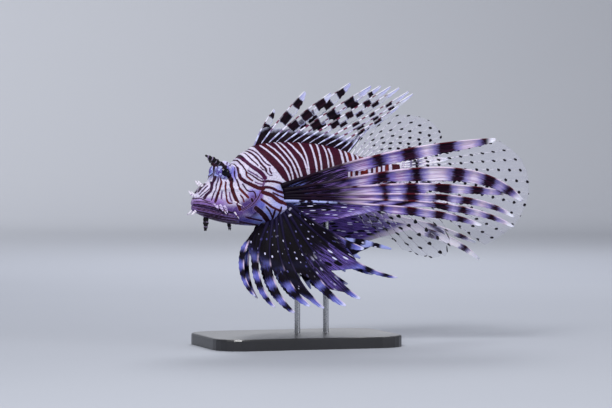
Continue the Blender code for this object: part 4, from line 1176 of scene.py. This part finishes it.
def pectoral_material(name, fold, blotched_with_painted_light):
    """Banded lavender rays above the fold and a black web below it, each ray told by its order.

    The web of the ray at the fold is mottled; blotched_with_painted_light mottles the inside of
    the fan too, on a paler lilac that is partly painted light, and paints light on the far ends of
    its rays."""
    s = Shader(name, Subsurface_Weight=0.04, Subsurface_Scale=0.001, Coat_Weight=0.02,
               Coat_Roughness=0.4, Specular_IOR_Level=0.05)
    place, lines = s.place(), strip_lines(s)
    run, off, share, order, ray, web = s.numbers("run", "off", "share", "order", "ray", "web")
    lower = s.step(order, fold + 0.01, fold + 0.03)
    upper = s.less(1.0, lower)
    at_fold = s.math("COMPARE", order, fold, 0.01)
    wander = s.wander(3.0, 3.0, place)
    colour = dark_root(s, banded_rays(s, lines, wander, lower, blotched_with_painted_light), lines, upper)
    # Inside the right fan: its own blotches and white dashes, on a paler lilac that is painted
    # light on a face that lies in shade.
    if blotched_with_painted_light:
        inner = s.times(s.step(order, 0.1, 0.2), s.step(run, 104.0, 90.0), upper, 0.94)
        colour = s.mix(inner, colour, mottled(s, lines, (166, 138, 218)))
    fringe = s.times(at_fold, web, s.step(off, 1.2, 2.2))
    colour = s.mix(fringe, colour, mottled(s, lines, (104, 80, 166)))
    colour = fleshy_root(s, colour, wander, upper)
    broken = s.step(s.noise(5.0, 2.0, place), 0.4, 0.52)
    rim = s.times(at_fold, ray, s.step(run, 44.0, 24.0), broken)
    colour = s.mix(rim, colour, (168, 176, 232))
    colour = s.mix(s.times(web, lower, 0.97), colour, inky_web(s, lines))
    tip = s.times(s.step(share, 0.95, 0.985), s.blend(lower, 1.0, 0.5))
    colour = s.mix(tip, colour, (232, 232, 248))
    s.bump(s.plus(s.noise(0.5, 2.0, place), 0.5, lines), 0.25)
    return s.done(Base_Color=colour, Roughness=s.scale(lines, 0.42, 0.66))


def pelvic_material():
    """Black spotted web and pale tips."""
    s = Shader("pelvic", Coat_Weight=0.02, Coat_Roughness=0.4, Specular_IOR_Level=0.05)
    lines = strip_lines(s)
    colour = s.mix(s.step(lines, 0.45, 0.7), (5, 2, 9), (22, 14, 36))
    colour = spotted(s, colour, 3.2, 0.17, 0.26)
    colour = s.mix(s.step(s.number("band"), 1.4, -1.4), colour, (150, 158, 218))
    s.bump(s.math("ADD", lines, s.noise(0.6)), 0.2)
    return s.done(Base_Color=colour, Roughness=s.scale(lines, 0.46, 0.7))


def dorsal_material():
    """Ringed spines with pale tips, a black base and dark squares on an otherwise clear film."""
    s = Shader("dorsal", Coat_Weight=0.03, Coat_Roughness=0.3, Specular_IOR_Level=0.08)
    lines, wander = strip_lines(s), s.wander(2.4, 3.0, s.place())
    run, share, ray, off, gap = s.numbers("run", "share", "ray", "off", "gap")
    reach = s.blend(s.step(s.number("order"), 0.4, 0.65), 6.0, 2.0)
    within = s.step(s.less(off, reach), 0.4, -0.2)
    squares = s.times(s.step(s.plus(wander, 2.4, s.number("band")), -0.7, 0.7), within)
    base = s.less(1.0, s.step(s.plus(wander, 5.0, run), 9.0, 17.0))
    dark = s.most(squares, base)
    film = s.mix(s.step(lines, 0.4, 0.62), (168, 170, 226), (226, 228, 250))
    film = s.mix(dark, film, s.mix(s.step(lines, 0.42, 0.66), (6, 3, 12), (36, 12, 28)))
    phase = s.plus(s.number("seed"), 3.0, s.math("DIVIDE", run, 7.6))
    rings = s.step(s.math("PINGPONG", phase, 0.5), 0.26, 0.34)
    spine = s.mix(rings, (232, 228, 248), (112, 44, 74))
    spine = s.mix(s.times(base, 0.55), spine, (176, 190, 244))
    inked = s.math("SUBTRACT", dark, base, clamp=True)
    spine = s.mix(s.times(inked, 0.75), spine, (40, 10, 26))
    tip = s.step(share, 0.82, 0.92)
    colour = s.mix(ray, film, s.mix(tip, spine, (246, 246, 252)))
    rim = s.step(s.math("DIVIDE", off, s.math("ADD", gap, 0.01)), 0.82, 0.95)
    clear = s.most(s.scale(lines, 0.0, 0.12), s.times(tip, 0.7), s.times(rim, 0.4))
    s.bump(s.math("ADD", lines, s.noise(0.6)), 0.12)
    return s.done(Base_Color=colour, Roughness=s.scale(lines, 0.3, 0.5),
                  Alpha=s.most(ray, s.times(dark, 0.98), clear))


def clear_material(name, spacing, dot):
    """Nearly clear web with pale dashed rays and rows of round dark dots on them."""
    s = Shader(name, Coat_Weight=0.05, Coat_Roughness=0.25, Specular_IOR_Level=0.2)
    lines = strip_lines(s)
    run, off, gap, ray, share = s.numbers("run", "off", "gap", "ray", "share")
    rest, flat = s.less(gap, off), s.less(1.0, ray)
    second = s.times(s.math("GREATER_THAN", off, rest), flat)
    near = s.times(s.math("MINIMUM", off, rest), flat)
    seed = s.blend(second, *s.numbers("seed", "seed_after"))
    on_ray = s.blend(second, run, s.number("run_after"))
    phase = s.plus(seed, 0.7, s.math("DIVIDE", on_ray, spacing))
    along = s.times(s.less(s.math("FRACT", phase), 0.5), spacing)
    away = s.math("SQRT", s.plus(along, along, s.times(near, near)))
    away = s.plus(s.wander(1.2, 2.0, s.place()), 0.6, away)
    dots = s.times(s.less(1.0, s.step(away, dot - 0.15, dot + 0.15)), s.step(run, 8.0, 12.0))
    beat = s.plus(seed, 4.0, s.math("DIVIDE", run, 5.6))
    dash = s.step(s.math("PINGPONG", beat, 0.5), 0.12, 0.2)
    film = s.mix(s.step(lines, 0.4, 0.6), (170, 166, 214), (222, 220, 242))
    rays = s.mix(dash, (178, 160, 204), (240, 238, 250))
    colour = s.mix(dots, s.mix(ray, film, rays), (12, 6, 16))
    rim = s.times(s.step(share, 0.98, 0.995), 0.08)
    strong = s.times(ray, s.plus(dash, 0.5, 0.35), s.less(1.0, s.times(share, 0.72)))
    s.bump(lines, 0.08)
    return s.done(Base_Color=colour, Roughness=s.scale(lines, 0.28, 0.45),
                  Alpha=s.most(strong, dots, s.scale(lines, 0.02, 0.15), rim))


def make_fin(name, table, bands, material, slot, count, columns, **shape):
    """One fin from its table of rays, with count points along a ray and columns across its web."""
    fin = link(name, fin_geometry(name, table, shape, bands, count, columns), material)
    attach(fin, "root")
    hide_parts(name)


def make_fins():
    """The paired fins of both sides, then those in the middle plane."""
    pelvic = pelvic_material()
    for side, table, bands in (("left", LEFT_PECTORAL, LEFT_BANDS),
                               ("right", RIGHT_PECTORAL, RIGHT_BANDS)):
        fold = FOLD_RAY / (len(table) - 1)
        pectoral = pectoral_material(f"pectoral_{side}", fold, side == "right")
        make_fin(f"pectoral_fin_{side}", table, bands, pectoral, "pectoral", 110, 11, steps=12,
                 depth=0.8, flare=(9, 20), kick=24, ray=(0.95, 0.3), root=1.2, sunk=2.5, sway=3)
        make_fin(f"pelvic_fin_{side}", PELVIC, PELVIC_BANDS, pelvic, "pelvic", 70, 9, steps=8,
                 depth=1.5, flare=(8, 12), ray=(0.8, 0.3), root=0.6, sunk=2.5, sway=3)
    make_fin("dorsal_fin_spiny", DORSAL_SPINES, DORSAL_BANDS, dorsal_material(), "spines", 90, 9,
             steps=9, alternate=3.4, sunk=2.0, planar=True, ray=(0.72, 0.22), skin=0.14)
    tail, anal = clear_material("tail_web", 8.4, 1.15), clear_material("anal_web", 10.2, 1.5)
    for name, table, material, thick, steps in (
        ("dorsal_fin_soft", SOFT_DORSAL, tail, 0.45, 6), ("anal_fin", ANAL, anal, 0.5, 7),
        ("tail_fin", TAIL_RAYS, tail, 0.55, 8),
    ):
        make_fin(name, table, None, material, "clear_fin", 90, 9, steps=steps, sunk=2.0,
                 ray=(thick, 0.2), skin=0.12)


# Flaps, spines and tentacles of the head

FLAPS = (  # name, look, three points, radii at root, middle and tip, flatness; y is mirrored
    ("nostril_flap", "pale", ((-67.6, 3.0, 110.4), (-70.4, 3.3, 113.0), (-72.2, 3.7, 115.4)),
     (0.9, 1.0, 0.3), 0.6),
    ("snout_flap", "pale", ((-72.8, 2.6, 103.6), (-75.2, 2.8, 105.8), (-77.0, 3.1, 108.4)),
     (0.7, 0.9, 0.3), 0.6),
    ("cheek_spine_a", "bony", ((-57.0, 10.0, 97.8), (-56.0, 12.8, 95.0), (-54.8, 14.8, 92.2)),
     (0.9, 0.6, 0.1), 0.9),
    ("cheek_spine_b", "bony", ((-51.2, 12.0, 97.6), (-48.8, 14.8, 93.4), (-46.4, 16.5, 89.4)),
     (0.9, 0.6, 0.1), 0.9),
    ("cheek_spine_c", "bony", ((-50.4, 13.2, 102.0), (-46.6, 15.6, 99.4), (-43.2, 17.1, 97.6)),
     (0.9, 0.6, 0.1), 0.9),
    ("chin_flap", "pale", ((-72.2, 3.4, 95.8), (-75.0, 4.2, 93.8), (-77.4, 5.0, 91.8)),
     (0.9, 1.0, 0.2), 0.5),
    ("barbel", "tentacle", ((-65.8, 1.9, 92.0), (-65.2, 2.0, 86.4), (-66.0, 1.7, 80.6)),
     (1.1, 1.45, 0.4), 0.5),
    ("throat_flap", "tentacle", ((-49.3, 1.8, 88.0), (-48.6, 1.9, 84.4), (-48.2, 1.8, 80.8)),
     (0.7, 0.9, 0.25), 0.5),
)
FRINGE = (  # soft tabs that overlap along the lip: root, middle, tip, width; y is mirrored
    ((-63.4, 9.0, 100.4), (-63.2, 11.0, 99.6), (-62.0, 12.3, 98.6), 1.1),
    ((-61.8, 9.4, 100.0), (-61.2, 12.0, 98.4), (-60.4, 13.4, 96.0), 1.3),
    ((-60.2, 9.8, 100.2), (-59.2, 12.4, 99.2), (-57.8, 13.8, 97.4), 1.2),
    ((-58.8, 10.2, 99.6), (-58.0, 12.8, 97.4), (-57.2, 14.2, 94.6), 1.4),
    ((-57.2, 10.6, 99.8), (-56.0, 13.0, 98.4), (-54.8, 14.4, 96.2), 1.0),
    ((-55.8, 11.0, 99.2), (-55.0, 13.4, 96.6), (-54.2, 14.8, 93.6), 1.0),
)
BROW_COURSES = {
    "brow_tentacle_left": ((-57.2, -8.8, 126.6), (-62.4, -10.2, 130.2), (-69.3, -11.6, 133.1)),
    "brow_tentacle_right": ((-57.2, 8.8, 126.6), (-59.0, 12.8, 130.6), (-58.7, 17.7, 132.1)),
}
BROW_RADII, BROW_WAVE = (1.7, 1.8, 0.7), 0.16
WAVES = {"tentacle": 0.12, "pale": 0.12, "bony": 0.0}  # ripple of the edge
WAVE_TURN = 26  # radians of ripple from root to tip
LEAF_POINTS = 40


def flap_material(name, pale, dark, size, cover):
    """Blotched flap skin; cover is how much of it the dark bands take, from 0 to 0.5."""
    s = Shader(name, Coat_Weight=0.05, Coat_Roughness=0.4, Specular_IOR_Level=0.2)
    place = s.place()
    bands = s.math("PINGPONG", s.math("DIVIDE", s.number("run"), size), 0.5)
    bands = s.plus(s.wander(1.4, 3.0, place), 0.6, bands)
    colour = s.mix(s.step(bands, cover - 0.05, cover + 0.05), dark, pale)
    grain = s.noise(0.5, 3.0, place)
    s.bump(grain, 0.15)
    return s.done(Base_Color=s.mix(s.scale(grain, 0.0, 0.4), colour, dark),
                  Roughness=s.scale(grain, 0.42, 0.66))


def leaf(name, course, radii, flat, material, slot, wave, replaced=None):
    """Tapered flap along a bent course; wave ripples its edge."""
    a, b, c = (np.array(p, float) for p in course)
    t = np.linspace(0, 1, LEAF_POINTS)
    column = t[:, None]
    path = a * (1 - column) ** 2 + b * 2 * column * (1 - column) + c * column * column
    radius = np.interp(t, (0, 0.5, 1), radii) * (1 + wave * np.sin(t * WAVE_TURN))
    radius[-1] *= 0.5
    pile = Pile()
    tube(pile, path, radius, {"run": column * float(np.linalg.norm(c - a))}, sides=16, flat=flat)
    piece = link(name, pile.mesh(name), material)
    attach(piece, "root")
    if replaced:
        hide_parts(replaced)


def make_flaps():
    """Flaps, barbels and spines of both sides, then the brow tentacles."""
    looks = {
        "tentacle": flap_material("tentacle", (146, 130, 166), (10, 5, 12), 3.4, 0.43),
        "pale": flap_material("pale_flap", (248, 246, 255), (150, 116, 168), 3.2, 0.02),
        "bony": flap_material("bony_spine", (230, 222, 240), (96, 50, 84), 4.0, 0.16),
    }
    soft = flap_material("soft_flap", (206, 192, 232), (104, 70, 128), 2.6, 0.12)
    pairs = []
    for name, look, course, radii, flat in FLAPS:
        slot = "tentacle" if look == "tentacle" else "skin"
        pairs.append((name, course, radii, flat, looks[look], slot, WAVES[look]))
    for k, (*course, wide) in enumerate(FRINGE):
        pairs.append((f"fringe_{k + 1}", course, (wide, wide, 0.3), 0.45, soft, "skin", 0.08))
    for name, course, *rest in pairs:
        for tag, side in (("left", -1), ("right", 1)):
            leaf(f"{name}_{tag}", [(x, side * y, z) for x, y, z in course], *rest)
    for name, course in BROW_COURSES.items():
        leaf(name, course, BROW_RADII, 0.5, looks["tentacle"], "tentacle", BROW_WAVE, name)


# Stand, floor, light and camera; places from here on are in metres

FLOOR_FRONT, FLOOR_BACK, FLOOR_HALF_WIDTH = -7.0, 3.0, 9.0
CURVE, WALL_TOP = 1.8, 7.0  # radius of the curve up to the wall, height of the wall
WALL_BLEND = (200.0, 4000.0)  # millimetres back, over which the floor's colour turns paler
MODEL_MIDDLE = (0, 0, 0.11)
LIGHTS = (  # name, place, target, size, watts, colour
    ("key", (-0.7, -1.1, 1.3), MODEL_MIDDLE, 0.6, 27, (1, 1, 1)),
    ("fill", (1.3, -1.2, 0.6), MODEL_MIDDLE, 0.9, 7, (0.93, 0.95, 1.0)),
    ("rim", (0.5, 1.2, 1.1), MODEL_MIDDLE, 0.6, 14, (0.95, 0.96, 1.0)),
    ("backdrop_light", (0, 2.0, 2.6), (0, 4.8, 1.4), 2.2, 62, (1, 1, 1)),
)
SKY_COLOUR, SKY_STRENGTH = (0.86, 0.88, 0.95, 1), 0.32
CAMERA_TARGET = (0.00736, 0, 0.0987)
CAMERA_DISTANCE = 2.0
CAMERA_TURN, CAMERA_RISE = 18, 1.5  # degrees off the side view and above it, as in the photograph
LENS, SENSOR = 168.07, 36.0  # millimetres


def dress_stand():
    """Better materials for the stand's own solids."""
    s = Shader("stand_base", Coat_Weight=0.3, Coat_Roughness=0.15)
    place = s.place()
    grain = s.noise(0.35, 3.0, place)
    s.bump(grain, 0.03)
    base = s.done(Base_Color=s.mix(s.noise(18.0, 3.0, place), (26, 26, 29), (38, 38, 42)),
                  Roughness=s.scale(grain, 0.3, 0.48))
    s = Shader("stand_rod", Metallic=1.0)
    x, y, z = s.parts(s.place())
    brushed = s.noise(0.25, 2.0, s.vector(s.times(x, 0.15), s.times(y, 0.15), z))
    s.bump(brushed, 0.02)
    rod = s.done(Base_Color=s.mix(brushed, (158, 160, 166), (206, 208, 212)),
                 Roughness=s.scale(brushed, 0.2, 0.36))
    dress = {"stand_base": base, "stand_rod_front": rod, "stand_rod_rear": rod}
    for name, material in dress.items():
        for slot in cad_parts[name].material_slots:
            slot.material = material


def make_stage():
    """Pale floor that curves up into a pale backdrop."""
    profile = [(FLOOR_FRONT, 0.0), (FLOOR_BACK, 0.0)]
    profile += [(FLOOR_BACK + CURVE * math.sin(a), CURVE * (1 - math.cos(a)))
                for a in np.linspace(0.1, math.pi / 2, 16)]
    profile.append((FLOOR_BACK + CURVE, WALL_TOP))
    points = [(x, y, z) for x in (-FLOOR_HALF_WIDTH, FLOOR_HALF_WIDTH) for y, z in profile]
    count = len(profile)
    faces = [(k, k + 1, count + k + 1, count + k) for k in range(count - 1)]
    mesh = bpy.data.meshes.new("backdrop")
    mesh.from_pydata(points, [], faces)
    s = Shader("backdrop", Roughness=0.9)
    floor = s.mix(s.noise(600.0), (158, 162, 172), (168, 172, 181))
    wall = s.step(s.parts(s.place())[1], *WALL_BLEND)
    stage = link("backdrop", mesh, s.done(Base_Color=s.mix(wall, floor, (202, 205, 213))))


def add_aimed(name, data, place, target):
    """New lamp or camera at a place, turned towards the target."""
    obj = bpy.data.objects.new(name, data)
    bpy.context.scene.collection.objects.link(obj)
    obj.location = place
    obj.rotation_euler = (Vector(target) - Vector(place)).to_track_quat("-Z", "Y").to_euler()
    return obj


def make_lights():
    """Soft round lamps and an even pale sky."""
    for name, place, target, size, watts, colour in LIGHTS:
        data = bpy.data.lights.new(name, "AREA")
        data.shape, data.size, data.energy, data.color = "DISK", size, watts, colour
        add_aimed(name, data, place, target)
    world = bpy.data.worlds.new("studio")
    world.use_nodes = True
    background = world.node_tree.nodes["Background"]
    background.inputs["Color"].default_value = SKY_COLOUR
    background.inputs["Strength"].default_value = SKY_STRENGTH
    bpy.context.scene.world = world


def make_camera():
    """Camera at the photograph's angle, far off with a long lens."""
    data = bpy.data.cameras.new("camera")
    data.sensor_width, data.lens = SENSOR, LENS
    target = Vector(CAMERA_TARGET)
    turn, rise = math.radians(CAMERA_TURN), math.radians(CAMERA_RISE)
    forward = Vector((math.sin(turn) * math.cos(rise), math.cos(turn) * math.cos(rise),
                      -math.sin(rise)))
    place = target - forward * CAMERA_DISTANCE
    bpy.context.scene.camera = add_aimed("camera", data, place, target)


def main():
    make_camera()
    make_lights()
    make_stage()
    make_skin()
    make_eyes()
    make_fins()
    make_flaps()
    dress_stand()
    bpy.context.scene.view_settings.view_transform = "Standard"


main()
